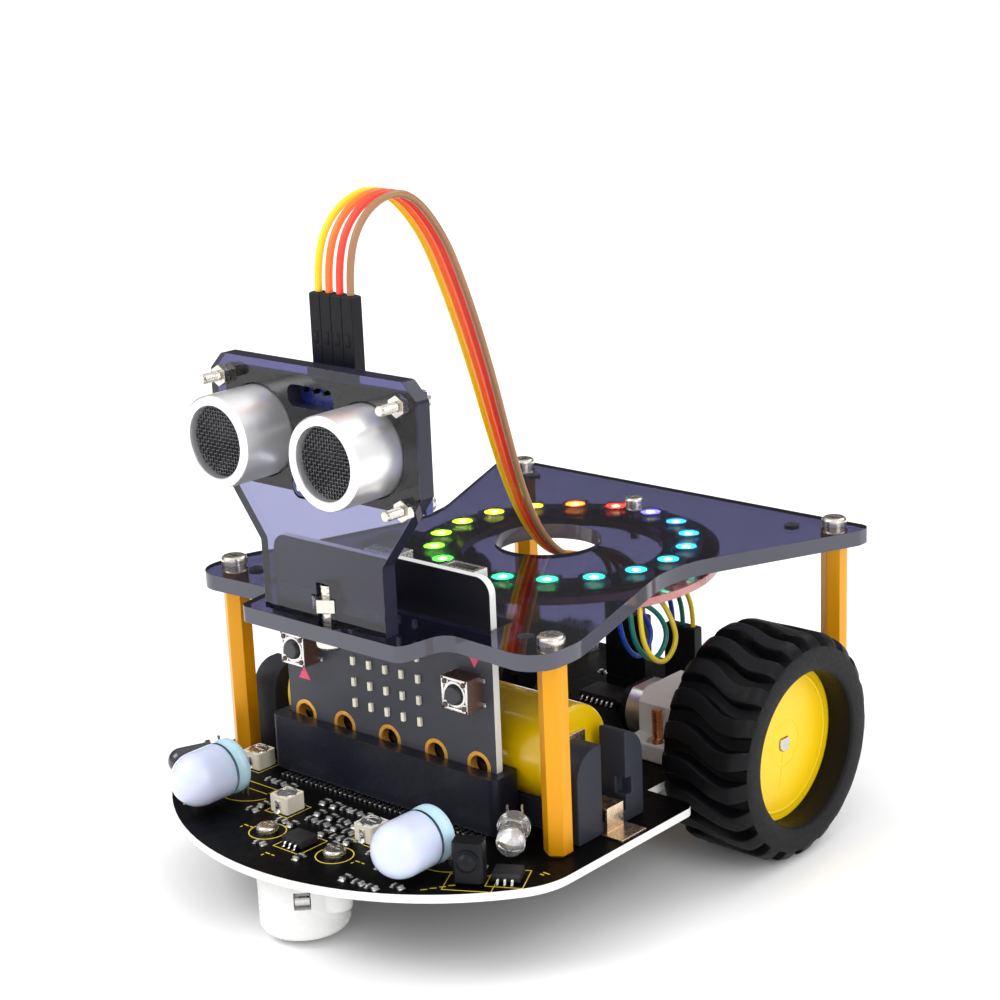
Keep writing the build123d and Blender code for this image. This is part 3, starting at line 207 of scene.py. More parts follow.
def acrylic(name, axis, tint, edge_colour, painted_shade_tint=None, painted_shade_above=0.0):
    """Tinted clear sheet whose cut edges are opaque and painted slate grey, in place of the light refracted
    through them; a second, darker tint takes over above a height, painted shade for what lies behind the
    sheet.
    """
    material = new_material(name, tint, 0.03, IOR=1.49, Specular_IOR_Level=0.3)
    tree = material.node_tree
    shader = tree.nodes["Principled BSDF"]
    # Painted shade: a darker tint above a given height, for what lies behind the sheet, not a change in the
    # sheet itself.
    if painted_shade_tint:
        blend_upwards(material, tint, painted_shade_tint, painted_shade_above - 0.002, painted_shade_above + 0.001)
    # Painted refraction: the cut edges lose their transmission and take a fixed colour in place of the light
    # passing through them.
    edge = add_edge_colour(material, axis, edge_colour)
    tree.links.new(math_node(tree, "SUBTRACT", 1.0, edge), shader.inputs["Transmission Weight"])
    scuffs = noise(tree, object_coordinates(tree), 45.0)
    tree.links.new(ramp(tree, scuffs, (0.015,) * 3, (0.05,) * 3), shader.inputs["Roughness"])
    return material


def glowing(name, colour, strength):
    """A lit lens: its surface colour is its light scaled back to the range of a paint."""
    material = surface(name, shade(colour, 0.8 / max(colour)), 0.3, grain=1500.0, bump=0.0)
    shader = material.node_tree.nodes["Principled BSDF"]
    shader.inputs["Emission Color"].default_value = (*colour, 1.0)
    shader.inputs["Emission Strength"].default_value = strength
    return material


BOARD_BLACK = surface("solder_mask_black", (0.0015, 0.0015, 0.002), 0.42, grain=700.0, bump=0.02,
                      Specular_IOR_Level=0.06)
add_edge_colour(BOARD_BLACK, "Z", (0.78, 0.78, 0.76))
CONTROLLER_BLACK = surface("controller_mask", (0.05, 0.051, 0.062), 0.4, grain=300.0, bump=0.02,
                           contrast=0.05, Specular_IOR_Level=0.25)
# Painted light and shade: the board is one black all over, yet it is painted dark grey below 50 mm and near
# black above 56 mm, where it stands clear of the deck.
blend_upwards(CONTROLLER_BLACK, (0.055, 0.056, 0.068), (0.004, 0.004, 0.006), 0.05, 0.056)
add_edge_colour(CONTROLLER_BLACK, "Y", (0.8, 0.8, 0.78))
CHIP_BLACK = surface("moulded_chip", (0.011, 0.011, 0.013), 0.5, grain=2500.0, bump=0.2)
PLASTIC_BLACK = surface("moulded_black", (0.005, 0.0053, 0.008), 0.42, grain=2600.0, bump=0.06,
                        contrast=0.06, Specular_IOR_Level=0.2)
HOLDER_BLACK = surface("holder_black", (0.022, 0.024, 0.034), 0.5, grain=2600.0, bump=0.12, contrast=0.06,
                       Specular_IOR_Level=0.25)
CONNECTOR_BLACK = surface("connector_black", (0.008, 0.009, 0.016), 0.34, grain=2600.0, bump=0.04,
                          contrast=0.05, Specular_IOR_Level=0.3)
SILVER = surface("tinned_metal", (0.78, 0.77, 0.75), 0.28, 1.0, grain=2200.0, bump=0.12)
SOLDER = surface("solder", (0.86, 0.86, 0.84), 0.36, 0.85, grain=1500.0, bump=0.2)
NICKEL = surface("nickel_screw", (0.72, 0.68, 0.62), 0.24, 1.0, grain=1600.0, bump=0.12, contrast=0.06)
STEEL = surface("steel", (0.62, 0.61, 0.6), 0.24, 1.0, grain=1400.0, bump=0.1)
COPPER = surface("copper_thread", (0.62, 0.3, 0.14), 0.3, 1.0, grain=1400.0, bump=0.2)
CAN_METAL = surface("spun_aluminium", (0.95, 0.95, 0.96), 0.34, 0.9, stretch=(0.3, 6.0, 0.3), grain=500.0,
                    bump=0.004, contrast=0.015, roughness_spread=0.04)
MOTOR_STEEL = surface("motor_can", (0.8, 0.79, 0.78), 0.36, 0.9, grain=700.0, bump=0.03, contrast=0.04)
BRASS = surface("brass", (0.74, 0.55, 0.25), 0.26, 1.0, grain=1300.0, bump=0.1)
SPRING_BRASS = surface("spring_brass", (0.88, 0.68, 0.5), 0.26, 1.0, grain=900.0, bump=0.15, contrast=0.1)
GOLD_PAD = surface("gold_pad", (0.86, 0.43, 0.07), 0.36, 0.6, grain=1800.0, bump=0.03, contrast=0.05)
GOLD_POST = surface("gold_post", (0.74, 0.31, 0.0), 0.36, 0.35, stretch=(1.0, 1.0, 0.08), grain=900.0,
                    bump=0.03, contrast=0.06)
CELL_YELLOW = surface("cell_sleeve", (0.7, 0.44, 0.0), 0.2, grain=160.0, bump=0.03, contrast=0.06,
                      Coat_Weight=0.5)
HUB_YELLOW = surface("hub_yellow", (0.93, 0.61, 0.004), 0.32, grain=220.0, bump=0.01, contrast=0.02)
RUBBER = surface("tyre_rubber", (0.003, 0.0031, 0.0042), 0.46, grain=1300.0, bump=0.06, contrast=0.12,
                 Specular_IOR_Level=0.16)
WHITE_PLASTIC = surface("white_plastic", (0.83, 0.83, 0.82), 0.24, grain=900.0, bump=0.04, contrast=0.03)
BRACKET_WHITE = surface("bracket_white", (0.84, 0.83, 0.82), 0.36, grain=900.0, bump=0.06, contrast=0.04)
TRIMMER_CREAM = surface("trimmer_cream", (0.72, 0.66, 0.54), 0.45, grain=1500.0, bump=0.12, contrast=0.1)
BUTTON_BROWN = surface("button_brown", (0.1, 0.05, 0.038), 0.42, grain=1500.0, bump=0.1)
BUTTON_GREY = surface("button_grey", (0.028, 0.028, 0.034), 0.38, grain=1500.0, bump=0.1)
LAMP_CREAM = surface("lamp_cream", (0.88, 0.83, 0.68), 0.35, grain=1800.0, bump=0.03)
LAMP_BODY = surface("lamp_body_white", (0.82, 0.82, 0.8), 0.35, grain=1500.0, bump=0.05)
BOARD_RED = surface("board_red", (0.42, 0.015, 0.02), 0.3, grain=800.0, bump=0.03, Coat_Weight=0.3)
add_edge_colour(BOARD_RED, "Z", (0.62, 0.28, 0.27))
BOARD_BLUE = surface("board_blue", (0.008, 0.02, 0.16), 0.3, grain=800.0, bump=0.03, Coat_Weight=0.3)
SILK_YELLOW = surface("print_yellow", (0.78, 0.6, 0.05), 0.5, grain=1500.0, bump=0.05)
PRINT_PINK = surface("print_pink", (0.75, 0.07, 0.16), 0.5, grain=1500.0, bump=0.05)
MESH_DARK = surface("can_mesh", (0.13, 0.13, 0.14), 0.34, 0.9, grain=2500.0, bump=0.05)
CAVITY = surface("can_cavity", (0.03, 0.03, 0.032), 0.35, 0.8, grain=1500.0, bump=0.03)
MILKY = surface("milky_lens", (0.6, 0.66, 0.83), 0.2, grain=60.0, bump=0.0, contrast=0.04,
                roughness_spread=0.03, Subsurface_Weight=0.6, Subsurface_Scale=0.003, Coat_Weight=0.3)
MILKY_BACK = surface("milky_back", (0.5, 0.71, 0.82), 0.2, grain=260.0, bump=0.0, contrast=0.03,
                     Subsurface_Weight=0.5, Subsurface_Scale=0.003, Coat_Weight=0.25)
CLEAR_LENS = surface("clear_lens", (0.95, 0.95, 0.96), 0.06, grain=200.0, bump=0.0, contrast=0.02,
                     roughness_spread=0.03, Transmission_Weight=0.92, IOR=1.5)
DARK_LENS = surface("dark_lens", (0.02, 0.022, 0.028), 0.14, grain=300.0, bump=0.02, Coat_Weight=0.5)
DECK_TINT = (0.085, 0.083, 0.18)
# The deck's cut edges are painted slate grey, a painted stand-in for the light refracted through them.
DECK_ACRYLIC = acrylic("deck_acrylic", "Z", DECK_TINT, (0.085, 0.085, 0.11))
# Painted shade: the bracket's cut edges are painted near black, and above 79.5 mm its tint is painted darker
# for the sonar board behind the sheet and that board's shadow.
BRACKET_ACRYLIC = acrylic("bracket_acrylic", "Y", (0.25, 0.255, 0.43), (0.02, 0.02, 0.035),
                          (0.07, 0.065, 0.2), 0.0795)

WIRE_COLOURS = {"sonar_wire_yellow": (1.0, 0.6, 0.006), "sonar_wire_orange": (1.0, 0.17, 0.02),
                "sonar_wire_red": (0.9, 0.055, 0.025), "sonar_wire_brown": (0.33, 0.16, 0.075),
                "ring_wire_yellow": (0.85, 0.66, 0.03), "ring_wire_teal": (0.005, 0.2, 0.17),
                "ring_wire_blue": (0.006, 0.05, 0.4)}


# Mesh helpers --------------------------------------------------------------------------------------
def finish_piece(obj, material, body, replaced=(), angle=38.0):
    """Give a piece its material, its body and the nodes that it stands for."""
    obj.data.materials.clear()
    obj.data.materials.append(material)
    if obj.type == "MESH":
        obj.data.shade_smooth()
        obj.data.set_sharp_from_angle(angle=math.radians(angle))
    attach(obj, body)
    if replaced:
        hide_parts(*replaced)
    return obj


def mesh_piece(name, vertices, faces, material, body="chassis", replaced=(), angle=38.0):
    mesh = bpy.data.meshes.new(name)
    mesh.from_pydata([tuple(v) for v in vertices], [], faces)
    mesh.validate()
    obj = bpy.data.objects.new(name, mesh)
    bpy.context.scene.collection.objects.link(obj)
    return finish_piece(obj, material, body, replaced, angle)


class Soup:
    """Collects many small shapes, in metres, into one mesh piece."""

    def __init__(self):
        self.vertices = []
        self.faces = []

    def add(self, vertices, faces):
        start = len(self.vertices)
        self.vertices += [Vector(v) for v in vertices]
        self.faces += [[start + index for index in face] for face in faces]

    def box(self, place, size, bevel=0.12):
        """A box whose edges are cut back: size in millimetres, bevel as a share of the smallest side."""
        half = [side * MM / 2 for side in size]
        cut = min(half) * bevel * 2
        mesh = bmesh.new()
        bmesh.ops.create_cube(mesh, size=2.0)
        for vertex in mesh.verts:
            vertex.co = Vector([c * h for c, h in zip(vertex.co, half)])
        if cut > 0:
            bmesh.ops.bevel(mesh, geom=mesh.edges[:], offset=cut, segments=2, profile=0.5, affect="EDGES")
        mesh.verts.index_update()
        self.add([place @ v.co for v in mesh.verts], [[v.index for v in f.verts] for f in mesh.faces])
        mesh.free()

    def lathe(self, profile, place, segments=48):
        """Turn (height, radius) pairs, in millimetres, about the Z axis of a placing matrix."""
        points = []
        for height, radius in profile:
            for step in range(segments):
                angle = 2 * math.pi * step / segments
                point = Vector((radius * math.cos(angle), radius * math.sin(angle), height))
                points.append(place @ (point * MM))
        faces = []
        for row in range(len(profile) - 1):
            for step in range(segments):
                a = row * segments + step
                b = row * segments + (step + 1) % segments
                above = (row + 1) * segments
                faces.append([a, b, above + (step + 1) % segments, above + step])
        self.add(points, faces)

    def tube(self, points, radius, sides=8):
        """A round bar along a line of points, with flat ends."""
        points = [Vector(point) for point in points]
        rings = []
        normal = None
        for index, point in enumerate(points):
            ahead = points[min(index + 1, len(points) - 1)] - points[max(index - 1, 0)]
            ahead.normalize()
            if normal is None:
                normal = ahead.orthogonal().normalized()
            normal = (normal - ahead * normal.dot(ahead)).normalized()
            side = ahead.cross(normal)
            ring = []
            for step in range(sides):
                angle = 2 * math.pi * step / sides
                ring.append(point + radius * (math.cos(angle) * normal + math.sin(angle) * side))
            rings.append(ring)
        vertices = [vertex for ring in rings for vertex in ring]
        faces = [list(range(sides))[::-1], [len(vertices) - sides + step for step in range(sides)]]
        for row in range(len(rings) - 1):
            for step in range(sides):
                a = row * sides + step
                b = row * sides + (step + 1) % sides
                faces.append([a, b, b + sides, a + sides])
        self.add(vertices, faces)

    def ribbon(self, points, width, height, closed=False):
        """A flat raised line drawn on a horizontal surface, in the plane of its points."""
        points = [Vector(point) for point in points]
        count = len(points)
        outline = []
        for index, point in enumerate(points):
            before = points[index - 1] if (closed or index) else point
            after = points[(index + 1) % count] if (closed or index < count - 1) else point
            along = (after - before).normalized()
            outline.append((point, Vector((-along.y, along.x, 0.0))))
        vertices = []
        for point, across in outline:
            for shift, rise in ((-1, 0), (1, 0), (1, 1), (-1, 1)):
                vertices.append(point + across * shift * width / 2 + Vector((0, 0, rise * height)))
        faces = []
        for index in range(count if closed else count - 1):
            a = index * 4
            b = (index + 1) % count * 4
            for corner in range(4):
                turn = (corner + 1) % 4
                faces.append([a + corner, b + corner, b + turn, a + turn])
        if not closed:
            faces += [[0, 1, 2, 3], [count * 4 - 1, count * 4 - 2, count * 4 - 3, count * 4 - 4]]
        self.add(vertices, faces)

    def make(self, name, material, body="chassis", replaced=(), angle=38.0):
        return mesh_piece(name, self.vertices, self.faces, material, body, replaced, angle)


def node_islands(node):
    """Every separate solid of a node: its low and high corners, its points and its faces."""
    source = nodes[node]
    mesh = bmesh.new()
    mesh.from_mesh(source.data)
    mesh.transform(source.matrix_world)
    bmesh.ops.remove_doubles(mesh, verts=mesh.verts[:], dist=1e-7)
    mesh.verts.ensure_lookup_table()
    seen = set()
    islands = []
    for seed in mesh.verts:
        if seed in seen:
            continue
        seen.add(seed)
        members = [seed]
        for vertex in members:
            for edge in vertex.link_edges:
                other = edge.other_vert(vertex)
                if other not in seen:
                    seen.add(other)
                    members.append(other)
        low = Vector([min(v.co[axis] for v in members) for axis in range(3)])
        high = Vector([max(v.co[axis] for v in members) for axis in range(3)])
        faces = dict.fromkeys(face for vertex in members for face in vertex.link_faces)
        index = {vertex: number for number, vertex in enumerate(members)}
        islands.append((low, high, [v.co.copy() for v in members],
                        [[index[v] for v in face.verts] for face in faces]))
    mesh.free()
    return islands


def soften(obj, width):
    """Round every sharp edge of a piece a little."""
    mesh = bmesh.new()
    mesh.from_mesh(obj.data)
    bmesh.ops.dissolve_limit(mesh, angle_limit=math.radians(0.4), verts=mesh.verts[:], edges=mesh.edges[:])
    mesh.to_mesh(obj.data)
    mesh.free()
    modifier = obj.modifiers.new("soft edges", "BEVEL")
    modifier.width = width
    modifier.segments = 2
    modifier.limit_method = "ANGLE"
    modifier.angle_limit = math.radians(50)
    modifier.harden_normals = True


def any_solid(low, high):
    return True


def remake(node, groups, soft=0.12 * MM):
    """Rebuild a node's solids as softened pieces.

    Each group is a name, a material and a test of a solid's low and high corners; the first test that
    passes takes the solid.
    """
    left = node_islands(node)
    made = []
    for name, material, test in groups:
        chosen = [island for island in left if test(island[0], island[1])]
        left = [island for island in left if not test(island[0], island[1])]
        soup = Soup()
        for _, _, vertices, faces in chosen:
            soup.add(vertices, faces)
        piece = soup.make(name, material, BODY_OF[node], [node])
        if soft:
            soften(piece, soft)
        made.append(piece)
    return made


def whole(node, material, soft=0.12 * MM, name=""):
    """Rebuild all of a node as one softened piece."""
    return remake(node, [(name or node + "_shape", material, any_solid)], soft)[0]


def at(x, y, z, turn=0.0):
    """A place in millimetres, turned about Z."""
    return Matrix.Translation((x * MM, y * MM, z * MM)) @ Matrix.Rotation(math.radians(turn), 4, "Z")


def shifted(place, x, y, z):
    """A place moved along its own axes, in millimetres."""
    return place @ Matrix.Translation((x * MM, y * MM, z * MM))


def facing(x, y, z, direction):
    """A place in metres whose Z axis looks along a direction."""
    return Matrix.Translation((x, y, z)) @ Vector(direction).to_track_quat("Z", "Y").to_matrix().to_4x4()


def add_thread(soup, place, radius, length, turns):
    """A raised helix round a screw's shank, up the Z axis of a placing matrix."""
    helix = []
    for step in range(turns * 12 + 1):
        angle = 2 * math.pi * step / 12
        rise = length * step / (turns * 12)
        helix.append(place @ Vector((radius * math.cos(angle), radius * math.sin(angle), rise)))
    soup.tube(helix, 0.12 * MM, 4)


# Wheels --------------------------------------------------------------------------------------------
TREAD_LUGS = 21
GROOVE_RADIUS = 18.9 * MM
# A lug slants by this share of a pitch over the tyre's width, and waves by this much either way.
LUG_SLANT = 0.35
LUG_WAVE = 0.18
# One groove and its lug: share of the pitch, and how far the rubber rises.
LUG_SHAPE = [(0.00, 0.0), (0.14, 0.0), (0.28, 0.0), (0.34, 0.05), (0.375, 0.5), (0.40, 0.9), (0.43, 0.985),
             (0.50, 1.0), (0.62, 1.0), (0.74, 1.0), (0.86, 1.0), (0.90, 0.985), (0.93, 0.9), (0.955, 0.5),
             (0.985, 0.05)]


def tyre_profile():
    """(share of the width, radius, whether grooves cut it), from the inner face to the recess's lip."""
    points = [(0.0, 16.65, 0), (0.0, 17.6, 0), (0.0, 18.8, 0), (0.006, 19.3, 1), (0.018, 19.75, 1),
              (0.035, 20.25, 1), (0.06, 20.75, 1), (0.09, 21.15, 1), (0.125, 21.4, 1)]
    points += [(0.16 + 0.68 * step / 17, 21.5, 1) for step in range(18)]
    points += [(0.875, 21.4, 1), (0.91, 21.15, 1), (0.94, 20.75, 1), (0.965, 20.25, 1), (0.982, 19.75, 1),
               (0.994, 19.3, 0), (1.0, 18.6, 0), (1.0, 17.2, 0), (1.0, 15.6, 0), (0.994, 15.1, 0),
               (0.982, 14.8, 0), (0.965, 14.7, 0), (0.85, 14.72, 0), (0.722, 14.75, 0)]
    return points


def make_tyre(side, name):
    inner = TYRE_LOW.x
    width = TYRE_HIGH.x - TYRE_LOW.x
    vertices = []
    profile = tyre_profile()
    for share, radius, cut in profile:
        across = share - 0.5
        sweep = LUG_SLANT * across + LUG_WAVE * math.sin(2 * math.pi * across * 1.1)
        for lug in range(TREAD_LUGS):
            for phase, rise in LUG_SHAPE:
                angle = 2 * math.pi * (lug + phase + sweep) / TREAD_LUGS
                full = radius * MM
                if cut:
                    full = min(full, GROOVE_RADIUS) + (full - min(full, GROOVE_RADIUS)) * rise
                vertices.append((side * (inner + share * width), AXLE_Y + full * math.cos(angle),
                                 AXLE_Z + full * math.sin(angle)))
    around = TREAD_LUGS * len(LUG_SHAPE)
    faces = []
    for row in range(len(profile) - 1):
        for step in range(around):
            a = row * around + step
            b = row * around + (step + 1) % around
            face = [a, b, b + around, a + around]
            faces.append(face if side > 0 else face[::-1])
    mesh_piece("tyre_tread_" + name, vertices, faces, RUBBER, "wheel_" + name,
               ["tyre_" + name], 32.0)


def make_wheel(side, name):
    make_tyre(side, name)
    whole("wheel_hub_" + name, HUB_YELLOW, 0.3 * MM, "wheel_hub_shape_" + name)
    face_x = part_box("wheel_hub_" + name)[1 if side > 0 else 0].x
    ridge = Soup()
    place = facing(face_x, AXLE_Y, AXLE_Z, (side, 0, 0))
    for radius in (4.1, 13.3):
        ring = [(0.0, radius - 0.4), (0.09, radius - 0.16), (0.09, radius + 0.16), (0.0, radius + 0.4)]
        ridge.lathe(ring, place, 96)
    start = Vector((face_x, AXLE_Y - 0.5 * MM, AXLE_Z - 1.9 * MM))
    ridge.tube([start, start + Vector((0, -1.2 * MM, -6.7 * MM))], 0.1 * MM, 6)
    ridge.make("wheel_face_ridges_" + name, HUB_YELLOW, "wheel_" + name)
    whole("output_shaft_" + name, STEEL, 0.08 * MM)


# Sonar ---------------------------------------------------------------------------------------------
def make_sonar_cans():
    front = CAN_LOW.y
    depth = CAN_HIGH.y - CAN_LOW.y
    shells = Soup()
    cavities = Soup()
    weave = Soup()
    outer = CAN_RADIUS / MM
    # (distance behind the mouth, radius)
    profile = [(depth / MM, outer - 0.1), (depth / MM - 0.1, outer), (0.5, outer), (0.3, outer - 0.04),
               (0.14, outer - 0.12), (0.03, outer - 0.28), (0.0, outer - 0.45), (0.03, outer - 1.55),
               (0.1, outer - 1.68), (0.28, outer - 1.75), (1.0, outer - 1.78), (2.2, outer - 1.78),
               (5.0, outer - 1.78)]
    cavity = [(4.6, 0.001), (4.5, 2.6), (4.2, 3.4), (2.3, outer - 1.9), (2.1, outer - 1.75)]
    reach = outer - 1.72
    pitch = 0.62
    weave_depth = 1.6
    wave_height = 0.09
    for side in (-1, 1):
        place = facing(side * CAN_X, front, CAN_Z, (0, 1, 0))
        shells.lathe(profile, place, 96)
        cavities.lathe(cavity, place, 48)
        lines = int(reach / pitch)
        for direction in (0, 1):
            for number in range(-lines, lines + 1):
                offset = number * pitch
                half = math.sqrt(reach ** 2 - offset ** 2)
                count = max(3, int(2 * half / pitch * 4))
                points = []
                for step in range(count + 1):
                    along = -half + 2 * half * step / count
                    wave = math.cos(math.pi * along / pitch) * (1 if (number + direction) % 2 else -1)
                    u, v = (along, offset) if direction else (offset, along)
                    points.append(place @ Vector((u * MM, v * MM, (weave_depth + wave_height * wave) * MM)))
                weave.tube(points, 0.1 * MM, 4)
    crystal = Soup()
    board_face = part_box("sonar_board")[0].y
    crystal.box(at(0.0, board_face / MM + 1.65, CRYSTAL_Z), (10.7, 3.5, 3.8), 0.35)
    crystal.make("sonar_crystal", SILVER)
    shells.make("sonar_can_shells", CAN_METAL, replaced=["sonar_cans"])
    cavities.make("sonar_can_cavities", CAVITY, replaced=["sonar_cans"])
    weave.make("sonar_can_weave", MESH_DARK, replaced=["sonar_cans"])


# Lamp ring -----------------------------------------------------------------------------------------
# Colours run counter-clockwise from the lamp nearest the front right, at this angle in degrees.
GLOW_START = -56.25
GLOWS = [(0.0, 0.7, 0.62), (0.0, 0.62, 0.9), (0.0, 0.52, 1.0), (0.0, 0.45, 1.0), (0.0, 0.36, 1.0),
         (0.0, 0.33, 1.0), (0.02, 0.28, 1.0), (0.16, 0.14, 1.0), (1.0, 0.03, 0.04), (1.0, 0.26, 0.02),
         (1.0, 0.66, 0.03), (0.8, 0.85, 0.05), (0.55, 0.9, 0.05), (0.4, 0.9, 0.06), (0.22, 0.9, 0.08),
         (0.08, 0.85, 0.12), (0.0, 0.8, 0.4), (0.0, 0.8, 0.45)]
# The capacitors sit between the lamps, apart from one gap: angles in degrees.
CAPACITOR_START = 13.75
CAPACITOR_GAP = 93.75


def through_deck(colour):
    """How strongly a lamp shines for its colour to arrive above the tinted sheet, which filters it twice."""
    return tuple(channel / tint ** 2 for channel, tint in zip(colour, DECK_TINT))


def make_lamp_ring():
    whole("ring_board", BOARD_RED, 0.15 * MM)
    whole("ring_lamps", LAMP_BODY, 0.1 * MM)
    lamp_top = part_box("ring_lamps")[1].z
    core = glowing("lamp_core", through_deck((1.0, 1.0, 1.0)), 1.3)
    cores = Soup()
    for index, colour in enumerate(GLOWS):
        angle = math.radians(GLOW_START + index * 360 / len(GLOWS))
        place = at(LAMP_CIRCLE * math.cos(angle), LAMP_CIRCLE * math.sin(angle), 0)
        place = Matrix.Translation((0, RING_Y, lamp_top - 0.3 * MM)) @ place
        halo = Soup()
        halo.lathe([(0.2, 0.85), (0.19, 1.3), (0.15, 1.9), (0.05, 2.3)], place, 32)
        bright = through_deck(tuple(0.01 + 0.99 * channel ** 1.5 for channel in colour))
        halo.make(f"lamp_glow_{index + 1}", glowing(f"glow_{index + 1}", bright, 1.0))
        cores.lathe([(0.25, 0.001), (0.24, 0.5), (0.2, 0.85)], place, 24)
    cores.make("lamp_glow_cores", core)
    caps = Soup()
    rings = Soup()
    for index in range(len(GLOWS)):
        degrees = CAPACITOR_START + index * 360 / len(GLOWS)
        spoke = Matrix.Translation((0, RING_Y, 0)) @ Matrix.Rotation(math.radians(degrees), 4, "Z")
        if abs(degrees - CAPACITOR_GAP) > 3.0:
            caps.box(shifted(spoke, LAMP_CIRCLE, 0, RING_HIGH.z / MM + 0.3), (0.8, 1.5, 0.6))
        hole = shifted(spoke, RING_HOLE_CIRCLE, 0, RING_LOW.z / MM)
        rings.lathe([(0, 0.5), (-0.05, 0.62), (-0.05, 0.95), (0, 1.05)], hole, 20)
    caps.make("ring_capacitors", BUTTON_BROWN)
    rings.make("ring_solder_pads", SOLDER)


# Base board detail -----------------------------------------------------------------------------------
def circle_points(x, y, radius, start=0.0, end=360.0, count=40):
    points = []
    for step in range(count + 1):
        angle = math.radians(start + (end - start) * step / count)
        points.append((x + radius * math.cos(angle), y + radius * math.sin(angle)))
    return points


# X, Y, width, depth and turn of each printed frame.
PRINTED_FRAMES = [(0.0, -49.3, 6.4, 6.8), (38.6, -38.4, 6.4, 6.8, 28), (34.6, -43.4, 8.4, 6.0, 28),
                  (-12.6, -40.4, 5.8, 5.8), (8.7, -40.4, 5.8, 5.8), (-32.2, -29.3, 5.8, 5.8),
                  (0.0, 43.0, 11.6, 3.4), (14.0, 43.0, 9.2, 3.4)]


def make_board_print():
    """The printed outlines round the parts: plain rings, frames and dashes."""
    soup = Soup()

    def draw(points, closed=False, width=0.22):
        soup.ribbon([(x * MM, y * MM, BOARD_TOP) for x, y in points], width * MM, 0.03 * MM, closed)

    def frame_round(x, y, wide, deep, turn=0.0):
        cosine = math.cos(math.radians(turn))
        sine = math.sin(math.radians(turn))
        corners = []
        for u, v in ((-1, -1), (1, -1), (1, 1), (-1, 1)):
            du = u * wide / 2
            dv = v * deep / 2
            corners.append((x + du * cosine - dv * sine, y + du * sine + dv * cosine))
        draw(corners, True)

    for side in (-1, 1):
        draw(circle_points(side * CASTER_SCREW_X, CASTER_Y / MM, 3.3)[:-1], True)
        draw(circle_points(side * HEADLIGHT_X, -37.4, 6.3, 200, 340, 24))
        frame_round(side * HEADLIGHT_X, -36.9, 9.0, 2.4)
        for step in range(4):
            x = 29.6 + 0.9 * step
            y = -50.2 + 1.3 * step
            draw([(side * x, y), (side * (x + 0.8), y + 0.8)])
        draw([(side * 43.2, -14.4), (side * 43.2, -11.8)])
    for outline in PRINTED_FRAMES:
        frame_round(*outline)
    for x in (-40.6, -37.4, 41.8):
        draw([(x, -33.2), (x + 1.4, -33.2)])
        draw([(x, -34.0), (x + 0.8, -34.0)])
    for x, y in ((-17.4, -36.6), (12.6, -36.6), (-2.2, -55.4), (12.8, -48.6), (-14.0, -49.6), (2.4, -36.8)):
        draw([(x, y), (x + 1.1, y)])
        draw([(x + 1.5, y), (x + 2.2, y)])
        draw([(x + 0.2, y - 0.6), (x + 0.2, y - 1.2)])
    soup.make("board_outlines", SILK_YELLOW, angle=60)


# X, Y, turn, length and depth of each chip.
CHIPS = [(0.0, -49.3, 0, 4.9, 3.9), (38.6, -38.4, 28, 4.9, 3.9), (0.0, 36.0, 0, 9.8, 6.2),
         (-16.0, 2.5, 0, 3.0, 3.0)]
# X, Y and turn of the first resistor in each row, and how many the row holds.
MORE_RESISTORS = [(-8.9, -34.6, 0, 8), (-24.6, -33.4, 0, 3), (14.6, -34.4, 0, 4), (-17.4, -44.6, 90, 2),
                  (13.6, -45.2, 90, 2), (-9.4, -44.8, 0, 2), (5.4, -46.6, 90, 2), (-5.6, -53.6, 0, 1),
                  (31.8, -37.8, 28, 1), (-31.0, -36.2, 0, 1), (4.2, -53.6, 90, 1), (19.0, -48.6, 90, 1)]
RESISTOR_PITCH = 2.7
CHIP_PIN_PITCH = 1.27


